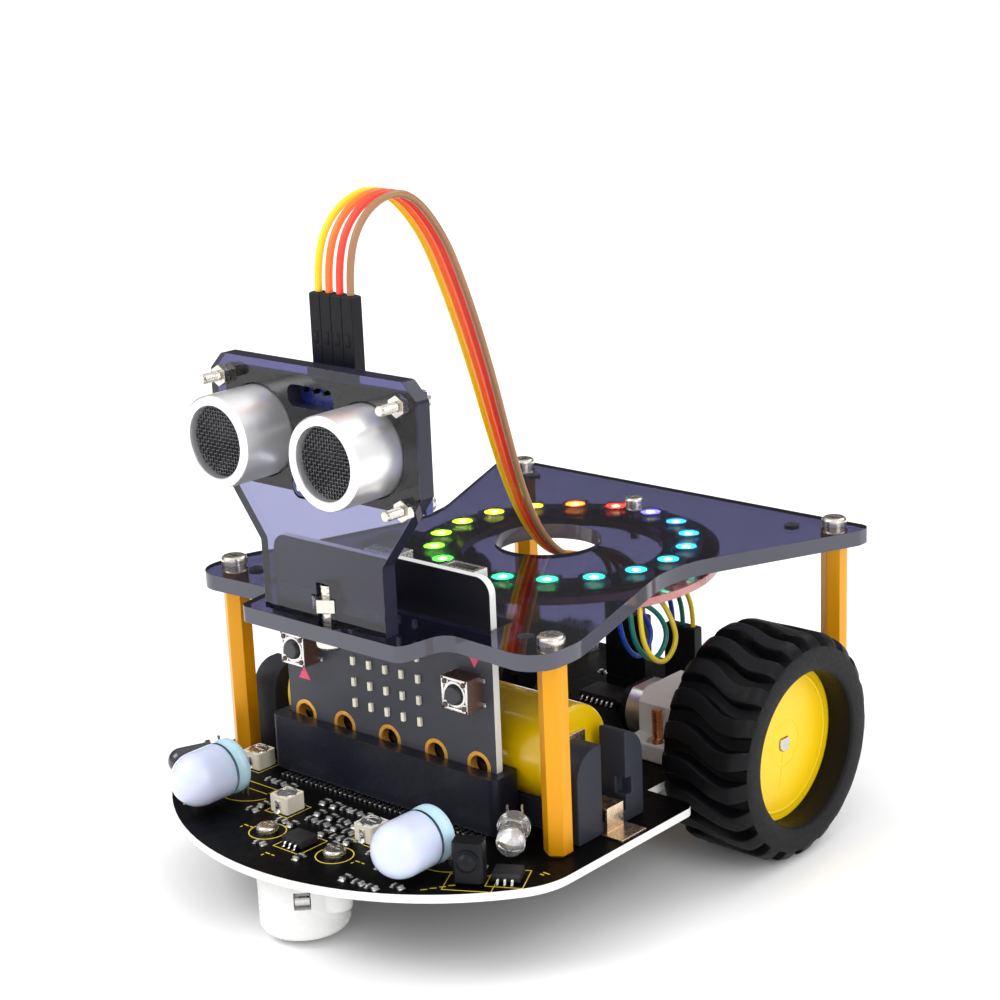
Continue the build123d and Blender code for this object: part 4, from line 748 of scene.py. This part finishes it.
def make_surface_parts():
    """Chip resistors with tinned ends, and moulded chips on gull-wing legs."""
    bodies = Soup()
    ends = Soup()
    chips = Soup()
    legs = Soup()
    places = []
    for low, high, *_ in node_islands("surface_parts"):
        size = high - low
        if size.x < 2.2 * MM and size.y < 1.4 * MM:
            places.append((Vector(((low.x + high.x) / 2, (low.y + high.y) / 2, BOARD_TOP)), 0.0))
    for x, y, turn, count in MORE_RESISTORS:
        for step in range(count):
            run = step * RESISTOR_PITCH
            across, along = (0.0, run) if turn == 90 else (run, 0.0)
            places.append((Vector(((x + across) * MM, (y + along) * MM, BOARD_TOP)), float(turn)))
    chance = random.Random(7)
    for place, turn in places:
        turn += 90.0 * (chance.random() < 0.35)
        matrix = Matrix.Translation(place) @ Matrix.Rotation(math.radians(turn), 4, "Z")
        bodies.box(shifted(matrix, 0, 0, 0.28), (0.95, 1.1, 0.5), 0.08)
        for side in (-1, 1):
            ends.box(shifted(matrix, side * 0.7, 0, 0.28), (0.5, 1.16, 0.56), 0.1)
            ends.box(shifted(matrix, side * 1.05, 0, 0.06), (0.5, 1.3, 0.12), 0.3)
    for x, y, turn, length, depth in CHIPS:
        place = Matrix.Translation((0, 0, BOARD_TOP)) @ at(x, y, 0, turn)
        chips.box(shifted(place, 0, 0, 0.95), (length, depth, 1.5), 0.07)
        dimple = shifted(place, -length / 2 + 0.8, -depth / 2 + 0.8, 1.7)
        chips.lathe([(0.0, 0.45), (0.03, 0.38), (0.03, 0.3), (0.0, 0.25)], dimple, 20)
        # Distance from the chip's middle and height of the bends of one leg.
        edge = depth / 2
        path = [(edge - 0.1, 0.85), (edge + 0.3, 0.82), (edge + 0.5, 0.6), (edge + 0.62, 0.25),
                (edge + 0.8, 0.12), (edge + 1.1, 0.1)]
        pins = int(length / CHIP_PIN_PITCH)
        for row in (-1, 1):
            for pin in range(pins):
                along = (pin - (pins - 1) / 2) * CHIP_PIN_PITCH
                for (d0, z0), (d1, z1) in zip(path, path[1:]):
                    run = Vector((0, row * (d1 - d0), z1 - z0)) * MM
                    middle = Vector((along, row * (d0 + d1) / 2, (z0 + z1) / 2)) * MM
                    slope = run.to_track_quat("Y", "X").to_matrix().to_4x4()
                    leg = place @ Matrix.Translation(middle) @ slope
                    legs.box(leg, (0.16, run.length / MM + 0.1, 0.42), 0.1)
    bodies.make("resistor_bodies", CHIP_BLACK, replaced=["surface_parts"])
    ends.make("resistor_ends", SOLDER, replaced=["surface_parts"])
    chips.make("chip_bodies", CHIP_BLACK, replaced=["surface_parts"])
    legs.make("chip_legs", SILVER, replaced=["surface_parts"])


# Lamps and sensors on the base board -----------------------------------------------------------------
def lamp_profile(radius, flange, length, flange_depth):
    """(height, radius) of a lamp from its flat base to the tip of its dome."""
    profile = [(0.0, 0.001), (0.0, flange - 0.25), (0.12, flange - 0.06), (0.3, flange),
               (flange_depth - 0.2, flange), (flange_depth, flange - 0.1),
               (flange_depth + 0.06, radius + 0.12), (flange_depth + 0.3, radius)]
    start = flange_depth + 0.3
    profile += [(start + step * (length - start) / 6, radius) for step in range(1, 7)]
    profile += [(length + radius * math.sin(math.radians(step)), radius * math.cos(math.radians(step)))
                for step in range(6, 91, 6)]
    return profile


def make_headlights():
    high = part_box("headlights")[1]
    radius = 5.0
    back_y = high.y / MM - 1.55
    centre_z = high.z / MM - 5.6
    lenses = Soup()
    backs = Soup()
    leads = Soup()
    # The clear-blue base ends this far from the flat back, and the milky dome starts.
    joint = 3.4
    profile = lamp_profile(radius, 5.12, 8.2, 1.4)
    for side in (-1, 1):
        place = facing(side * HEADLIGHT_X * MM, back_y * MM, centre_z * MM, (0, -1, 0))
        base = [point for point in profile if point[0] <= joint]
        dome = [(joint - 0.1, radius - 0.02)] + [point for point in profile if point[0] > joint]
        backs.lathe(base, place, 64)
        lenses.lathe(dome, place, 64)
        for step in (-1.9, -0.6, 0.6, 1.9):
            x = side * HEADLIGHT_X + step
            path = [(x, back_y, centre_z - 3.0), (x, back_y + 0.9, centre_z - 3.0),
                    (x, back_y + 1.4, centre_z - 3.3), (x, back_y + 1.55, centre_z - 3.9),
                    (x, back_y + 1.55, BOARD_TOP / MM)]
            leads.tube([Vector(point) * MM for point in path], 0.24 * MM, 8)
    lenses.make("headlight_lenses", MILKY, replaced=["headlights"])
    backs.make("headlight_backs", MILKY_BACK, replaced=["headlights"])
    leads.make("headlight_leads", SILVER, replaced=["headlights"])


# X, Y, height over the board, turn, name and material of each infrared lamp.
INFRARED_LAMPS = [(34.6, -32.6, 4.7, 35, "clear", CLEAR_LENS), (-38.0, -40.0, 3.6, -35, "dark", DARK_LENS)]


def is_receiver(low, high):
    return low.x > 29.0 * MM and high.y < -38.5 * MM


def make_infrared_parts():
    remake("infrared_parts", [("infrared_receiver", PLASTIC_BLACK, is_receiver)], 0.15 * MM)
    metal = Soup()
    for x, y, z, turn, name, material in INFRARED_LAMPS:
        upright = Matrix.Translation((0, 0, BOARD_TOP)) @ at(x, y, z, turn)
        place = upright @ Matrix.Rotation(math.radians(95), 4, "X")
        shell = Soup()
        profile = [(height - 3.4, radius) for height, radius in lamp_profile(2.5, 2.9, 5.9, 1.0)]
        shell.lathe(profile, place, 48)
        shell.make(f"infrared_lamp_{name}", material, replaced=["infrared_parts"])
        for step in (-1.27, 1.27):
            path = [(step, 0, -3.3), (step, 0.05, -4.6), (step, 0.35, -5.0), (step, 1.0, -5.1),
                    (step, 2.9, -5.05)]
            metal.tube([place @ (Vector(point) * MM) for point in path], 0.25 * MM, 8)
            inner = [(step * 0.7, 0, -3.2), (step * 0.7, 0, 0.4 if step > 0 else -0.6)]
            metal.tube([place @ (Vector(point) * MM) for point in inner], 0.3 * MM, 8)
        metal.lathe([(-0.6, 0.4), (0.3, 0.7), (0.8, 1.15), (0.85, 1.25), (0.2, 0.95)], place, 24)
    metal.make("infrared_leads", SILVER, replaced=["infrared_parts"])


def make_trimmers():
    whole("trimmer_bodies", TRIMMER_CREAM, 0.15 * MM)
    tabs = Soup()
    for low, high, *_ in node_islands("trimmer_bodies"):
        place = Matrix.Translation(((low.x + high.x) / 2, (low.y + high.y) / 2, BOARD_TOP))
        half = (high.y - low.y) / 2 / MM
        tabs.box(shifted(place, 0, -half - 0.35, 0.2), (1.3, 1.2, 0.35))
        tabs.box(shifted(place, 0, -half - 0.05, 1.3), (1.2, 0.3, 2.3))
        for side in (-1, 1):
            tabs.box(shifted(place, side * 1.1, half + 0.25, 0.2), (1.0, 1.1, 0.35))
        ring = shifted(place, 0, 0, (high.z - BOARD_TOP) / MM)
        tabs.lathe([(-0.06, 1.56), (0.09, 1.62), (0.12, 1.75), (0.09, 1.9), (-0.02, 1.95)], ring, 32)
        for step in range(8):
            spoke = ring @ Matrix.Rotation(math.radians(step * 45), 4, "Z")
            tabs.box(shifted(spoke, 1.95, 0, 0.03), (0.5, 0.34, 0.1))
    tabs.make("trimmer_terminals", SILVER)
    for name in ("left", "middle", "right"):
        whole("trimmer_rotor_" + name, SILVER, 0.08 * MM)


# Controller board ------------------------------------------------------------------------------------
def on_front(low, high):
    return high.y <= CONTROLLER_LOW.y + 0.1 * MM


def is_matrix_lamp(low, high):
    return on_front(low, high) and high.x - low.x < 1.0 * MM


def is_socket(low, high):
    return high.z > 57.7 * MM and low.x > -5.0 * MM


# X, Z and direction of the two printed triangles: 1 points up, -1 points down.
MARKS = [(-21.4, 36.3, 1), (21.6, 48.0, -1)]
MARK_SIZE = 1.5 * MM


def make_controller():
    whole("controller_board", CONTROLLER_BLACK, 0.12 * MM)
    face = CONTROLLER_LOW.y
    thickness = (CONTROLLER_HIGH.y - face) / MM
    pads = Soup()
    for x in PAD_X:
        place = facing(x * MM, face, PAD_Z * MM, (0, -1, 0))
        pads.lathe([(0.0, 2.75), (0.06, 2.7), (0.06, 2.05), (0.0, 1.98), (-thickness, 1.98),
                    (-thickness - 0.06, 2.05), (-thickness - 0.06, 2.7), (-thickness, 2.75)], place, 48)
    pads.make("controller_pads", GOLD_PAD)
    remake("controller_parts", [
        ("controller_matrix", LAMP_CREAM, is_matrix_lamp), ("controller_buttons", BUTTON_BROWN, on_front),
        ("controller_sockets", SILVER, is_socket), ("controller_chips", CHIP_BLACK, any_solid)], 0.06 * MM)
    plates = Soup()
    rivets = Soup()
    marks = Soup()
    for side in (-1, 1):
        x = side * BUTTON_X
        centre = facing(x * MM, face - 3.6 * MM, BUTTON_Z * MM, (0, -1, 0))
        ring = [(0.0, 1.85), (0.16, 1.9), (0.2, 2.05), (0.2, 2.35), (0.14, 2.5), (0.0, 2.52)]
        plates.lathe(ring, centre, 40)
        for sx in (-1, 1):
            plates.box(shifted(centre, sx * 2.72, 0, 0.08), (0.5, 5.9, 0.22))
            plates.box(shifted(centre, 0, sx * 2.72, 0.08), (5.9, 0.5, 0.22))
            for sz in (-1, 1):
                corner = shifted(centre, sx * 2.15, sz * 2.15, 0.08)
                plates.box(corner, (1.5, 1.5, 0.16))
                rivets.lathe([(0.1, 0.5), (0.34, 0.44), (0.42, 0.25), (0.43, 0.001)], corner, 20)
            foot = facing((x + sx * 3.3) * MM, face - 0.12 * MM, BUTTON_Z * MM, (0, -1, 0))
            for sz in (-2.2, 2.2):
                plates.box(shifted(foot, 0, sz, 0), (1.3, 0.8, 0.22))
    for x, z, flip in MARKS:
        base_z = z * MM - flip * MARK_SIZE * 0.7
        points = [(x * MM - MARK_SIZE, face, base_z), (x * MM + MARK_SIZE, face, base_z),
                  (x * MM, face, z * MM + flip * MARK_SIZE)]
        front = [(px, py - 0.03 * MM, pz) for px, py, pz in points]
        marks.add(points + front, [[0, 1, 2], [3, 5, 4], [0, 3, 4, 1], [1, 4, 5, 2], [2, 5, 3, 0]])
    plates.make("button_plates", SILVER)
    rivets.make("button_rivets", BUTTON_BROWN)
    marks.make("controller_marks", PRINT_PINK)
    for name in ("button_cap_a", "button_cap_b", "reset_cap"):
        whole(name, BUTTON_GREY, 0.06 * MM)


# Plugs and cords -------------------------------------------------------------------------------------
def make_plugs():
    whole("jumper_plugs", PLASTIC_BLACK, 0.12 * MM)
    catches = Soup()
    for low, high, *_ in node_islands("jumper_plugs"):
        x = (low.x + high.x) / 2
        y = (low.y + high.y) / 2
        for side, at_y in ((-1, low.y), (1, high.y)):
            middle = Matrix.Translation((x, at_y + side * 0.01 * MM, low.z + 6.4 * MM))
            catches.box(middle, (0.95, 0.12, 2.1))
        collar = Matrix.Translation((x, y, high.z))
        catches.lathe([(0.0, 0.98), (0.06, 0.95), (0.06, 0.75), (-0.1, 0.7)], collar, 20)
    catches.make("plug_catches", PLASTIC_BLACK)
    whole("pin_headers", PLASTIC_BLACK, 0.1 * MM)


SONAR_WIRE_DIAMETER = 1.3
RING_WIRE_DIAMETER = 1.0
SONAR_WIRES = ("yellow", "orange", "red", "brown")
# Each point in millimetres: pitch between neighbours, Y, Z, and how far one wire lies behind the next.
SONAR_ROUTE = [(2.54, -33.1, 110.7, 0.0), (2.54, -33.1, 118.0, 0.0), (2.4, -27.6, 125.0, 0.1),
               (2.3, -18.2, 126.9, 0.2), (2.2, -9.4, 118.5, 0.3), (2.15, -3.4, 106.0, 0.3),
               (2.1, 1.9, 92.0, 0.4), (2.05, 6.3, 78.0, 0.5), (2.0, 10.1, 67.0, 0.7),
               (1.9, 15.0, 57.3, 0.7), (1.8, 21.8, 50.6, 0.4), (1.9, 30.0, 48.2, 0.1),
               (2.2, 37.2, 45.2, 0.0), (2.54, 43.0, 39.8, 0.0), (2.54, 43.0, 33.1, 0.0)]
RING_ROUTES = {
    "yellow": [(27.0, 13.0, 48.0), (27.0, 13.0, 42.2), (26.9, 16.2, 36.4), (26.2, 21.6, 33.9),
               (25.6, 26.0, 36.9), (24.8, 25.4, 41.4), (22.6, 24.6, 45.4), (16.8, 26.2, 46.2),
               (16.4, 33.2, 45.2), (16.54, 43.0, 40.8), (16.54, 43.0, 33.1)],
    "teal": [(25.2, 12.4, 48.0), (25.2, 12.4, 42.6), (25.1, 15.8, 36.8), (24.4, 21.0, 34.2),
             (23.8, 25.6, 37.6), (22.8, 24.4, 42.2), (20.4, 20.6, 45.6), (14.4, 22.4, 46.2),
             (14.0, 32.0, 45.2), (14.0, 43.0, 40.8), (14.0, 43.0, 33.1)],
    "blue": [(23.2, 11.4, 48.0), (23.2, 11.4, 43.2), (22.9, 14.6, 37.4), (22.1, 19.5, 34.7),
             (21.4, 24.0, 37.9), (20.3, 22.6, 42.4), (18.0, 18.8, 45.7), (12.0, 19.8, 46.3),
             (11.5, 31.0, 45.2), (11.46, 43.0, 40.8), (11.46, 43.0, 33.1)]}


def make_cord(node, points, diameter):
    """A round insulated wire along its route."""
    curve = bpy.data.curves.new(node + "_cord", "CURVE")
    curve.dimensions = "3D"
    curve.bevel_depth = diameter / 2 * MM
    curve.bevel_resolution = 5
    curve.resolution_u = 10
    curve.use_fill_caps = True
    spline = curve.splines.new("NURBS")
    spline.points.add(len(points) - 1)
    for target, point in zip(spline.points, points):
        target.co = (point[0] * MM, point[1] * MM, point[2] * MM, 1.0)
    spline.order_u = 3
    spline.use_endpoint_u = True
    obj = bpy.data.objects.new(node + "_cord", curve)
    bpy.context.scene.collection.objects.link(obj)
    material = surface(node + "_sleeve", WIRE_COLOURS[node], 0.34, grain=900.0, bump=0.06, contrast=0.06)
    curve.materials.append(material)
    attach(obj, "chassis")
    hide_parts(node)


def make_cords():
    for index, colour in enumerate(SONAR_WIRES):
        step = index - (len(SONAR_WIRES) - 1) / 2
        points = [(step * pitch, y - step * behind, z) for pitch, y, z, behind in SONAR_ROUTE]
        make_cord("sonar_wire_" + colour, points, SONAR_WIRE_DIAMETER)
    for colour, points in RING_ROUTES.items():
        make_cord("ring_wire_" + colour, points, RING_WIRE_DIAMETER)


# Everything else: a finish and an edge rounding for each node ------------------------------------------
PLAIN_FINISHES = {
    "base_board": (BOARD_BLACK, 0.1), "edge_connector": (CONNECTOR_BLACK, 0.25),
    "edge_contacts": (SILVER, 0.05), "battery_holder": (HOLDER_BLACK, 0.3),
    "battery_contacts": (SPRING_BRASS, 0.06), "battery_cell": (CELL_YELLOW, 0.15),
    "power_switch_body": (SILVER, 0.12), "power_switch_lever": (PLASTIC_BLACK, 0.1),
    "caster_housing": (WHITE_PLASTIC, 0.25), "caster_rollers": (STEEL, 0.1), "caster_ball": (STEEL, 0.0),
    "deck_fasteners": (NICKEL, 0.1), "sonar_fasteners": (NICKEL, 0.1), "motor_cans": (MOTOR_STEEL, 0.25),
    "motor_end_caps": (PLASTIC_BLACK, 0.12), "motor_brackets": (BRACKET_WHITE, 0.3),
    "gearbox_frames": (BRASS, 0.1), "standoffs": (GOLD_POST, 0.12), "sonar_board": (BOARD_BLUE, 0.12),
    "sonar_bracket": (BRACKET_ACRYLIC, 0.12), "deck_plate": (DECK_ACRYLIC, 0.12)}
GEARS = [f"double_gear_{stage}_{side}" for stage in (1, 2, 3) for side in ("left", "right")]
# Base screws longer than this, in millimetres, hold the motors' feet.
MOTOR_SCREW_LENGTH = 12.5


def holds_motor(low, high):
    return high.z - low.z > MOTOR_SCREW_LENGTH * MM


def make_plain_parts():
    for node, (material, soft) in PLAIN_FINISHES.items():
        whole(node, material, soft * MM)
    for node in GEARS + ["motor_rotor_left", "motor_rotor_right"]:
        whole(node, BRASS, 0.0)
    remake("base_fasteners", [
        ("motor_foot_screws", COPPER, holds_motor), ("base_screws", NICKEL, any_solid)], 0.08 * MM)
    threads = Soup()
    for low, high, *_ in node_islands("base_fasteners"):
        if not holds_motor(low, high):
            continue
        foot = Matrix.Translation(((low.x + high.x) / 2, (low.y + high.y) / 2, BOARD_TOP + 3.7 * MM))
        add_thread(threads, foot, 0.95 * MM, high.z - BOARD_TOP - 3.8 * MM, 14)
    threads.make("motor_foot_threads", COPPER)
    threads = Soup()
    for low, high, *_ in node_islands("sonar_fasteners"):
        size = high - low
        middle = (low + high) / 2
        if size.y > 8 * MM:
            tip = facing(middle.x, low.y + 0.15 * MM, middle.z, (0, 1, 0))
            add_thread(threads, tip, 0.8 * MM, 3.6 * MM, 10)
        elif size.z > 8 * MM:
            add_thread(threads, Matrix.Translation((middle.x, middle.y, DECK_HIGH.z)), 1.48 * MM,
                       high.z - DECK_HIGH.z - 0.2 * MM, 7)
    threads.make("sonar_screw_threads", NICKEL)


# Camera, light and floor -------------------------------------------------------------------------------
CAMERA_PLACE = Vector((263.82, -284.80, 176.81)) * MM
CAMERA_AZIMUTH = 39.52
CAMERA_ELEVATION = 16.15
CAMERA_ROLL = -1.59
CAMERA_LENS = 78.78
CAMERA_SHIFT = (-0.0998, 0.0084)


def set_camera():
    azimuth = math.radians(CAMERA_AZIMUTH)
    elevation = math.radians(CAMERA_ELEVATION)
    roll = math.radians(CAMERA_ROLL)
    level = math.cos(elevation)
    forward = Vector((-math.sin(azimuth) * level, math.cos(azimuth) * level, -math.sin(elevation)))
    right = Vector((math.cos(azimuth), math.sin(azimuth), 0.0))
    up = right.cross(forward)
    rolled_right = math.cos(roll) * right + math.sin(roll) * up
    rolled_up = math.cos(roll) * up - math.sin(roll) * right
    camera = bpy.data.cameras.new("camera")
    camera.sensor_width = 36.0
    camera.lens = CAMERA_LENS
    camera.shift_x, camera.shift_y = CAMERA_SHIFT
    camera.clip_start = 0.01
    camera.clip_end = 50.0
    camera.dof.use_dof = False
    obj = bpy.data.objects.new("camera", camera)
    matrix = Matrix((rolled_right, rolled_up, -forward)).transposed().to_4x4()
    matrix.translation = CAMERA_PLACE
    obj.matrix_world = matrix
    bpy.context.scene.collection.objects.link(obj)
    bpy.context.scene.camera = obj


# Name, place, size and power of each area light.
AREA_LIGHTS = [("key", (-0.55, -0.7, 0.95), (0.7, 0.7), 7.0), ("side", (0.95, -0.2, 0.6), (0.5, 0.9), 3.5),
               ("back", (0.2, 0.9, 0.9), (0.9, 0.5), 3.0)]
LIGHT_TARGET = Vector((0.0, 0.0, 0.05))
WORLD_STRENGTH = 1.08
# The way from the car to the wall behind it, as the camera sees it.
BACK_WALL = (-0.64, 0.77, 0.0)


def area_light(name, place, size, power):
    light = bpy.data.lights.new(name, "AREA")
    light.shape = "RECTANGLE"
    light.size, light.size_y = size
    light.energy = power
    obj = bpy.data.objects.new(name, light)
    obj.location = place
    obj.rotation_euler = (LIGHT_TARGET - Vector(place)).to_track_quat("-Z", "Y").to_euler()
    bpy.context.scene.collection.objects.link(obj)
    obj.visible_camera = False


def set_world():
    """A white studio whose back wall is darker than its ceiling, but only where it is reflected."""
    world = bpy.data.worlds.new("studio")
    world.use_nodes = True
    tree = world.node_tree
    background = tree.nodes["Background"]
    background.inputs["Color"].default_value = (1.0, 1.0, 1.0, 1.0)
    path = tree.nodes.new("ShaderNodeLightPath")
    direction = tree.nodes.new("ShaderNodeTexCoord").outputs["Generated"]
    split = tree.nodes.new("ShaderNodeSeparateXYZ")
    tree.links.new(direction, split.inputs[0])
    facing_back = tree.nodes.new("ShaderNodeVectorMath")
    facing_back.operation = "DOT_PRODUCT"
    facing_back.inputs[1].default_value = BACK_WALL
    tree.links.new(direction, facing_back.inputs[0])
    below_ceiling = map_range(tree, split.outputs["Z"], 0.3, 0.9, 1.0, 0.15)
    near_back = map_range(tree, facing_back.outputs["Value"], -0.1, 0.5, 0.25, 1.0)
    wall = math_node(tree, "MULTIPLY", below_ceiling, near_back)
    darker = math_node(tree, "MULTIPLY", wall, path.outputs["Is Glossy Ray"])
    tree.links.new(math_node(tree, "SUBTRACT", WORLD_STRENGTH, darker), background.inputs["Strength"])
    bpy.context.scene.world = world


def set_stage():
    mesh = bpy.data.meshes.new("floor")
    mesh.from_pydata([(-6, -6, 0), (6, -6, 0), (6, 6, 0), (-6, 6, 0)], [], [[0, 1, 2, 3]])
    floor = bpy.data.objects.new("floor", mesh)
    bpy.context.scene.collection.objects.link(floor)
    mesh.materials.append(surface("floor_white", (0.93, 0.93, 0.93), 0.9, grain=30.0, bump=0.0,
                                  contrast=0.005, roughness_spread=0.02, Specular_IOR_Level=0.0))
    set_world()
    for name, place, size, power in AREA_LIGHTS:
        area_light(name, place, size, power)
    bpy.context.scene.view_settings.view_transform = "Standard"


make_plain_parts()
make_board_print()
make_surface_parts()
make_headlights()
make_infrared_parts()
make_trimmers()
make_controller()
make_lamp_ring()
make_sonar_cans()
make_plugs()
make_cords()
for side, name in ((1, "right"), (-1, "left")):
    make_wheel(side, name)
set_stage()
set_camera()
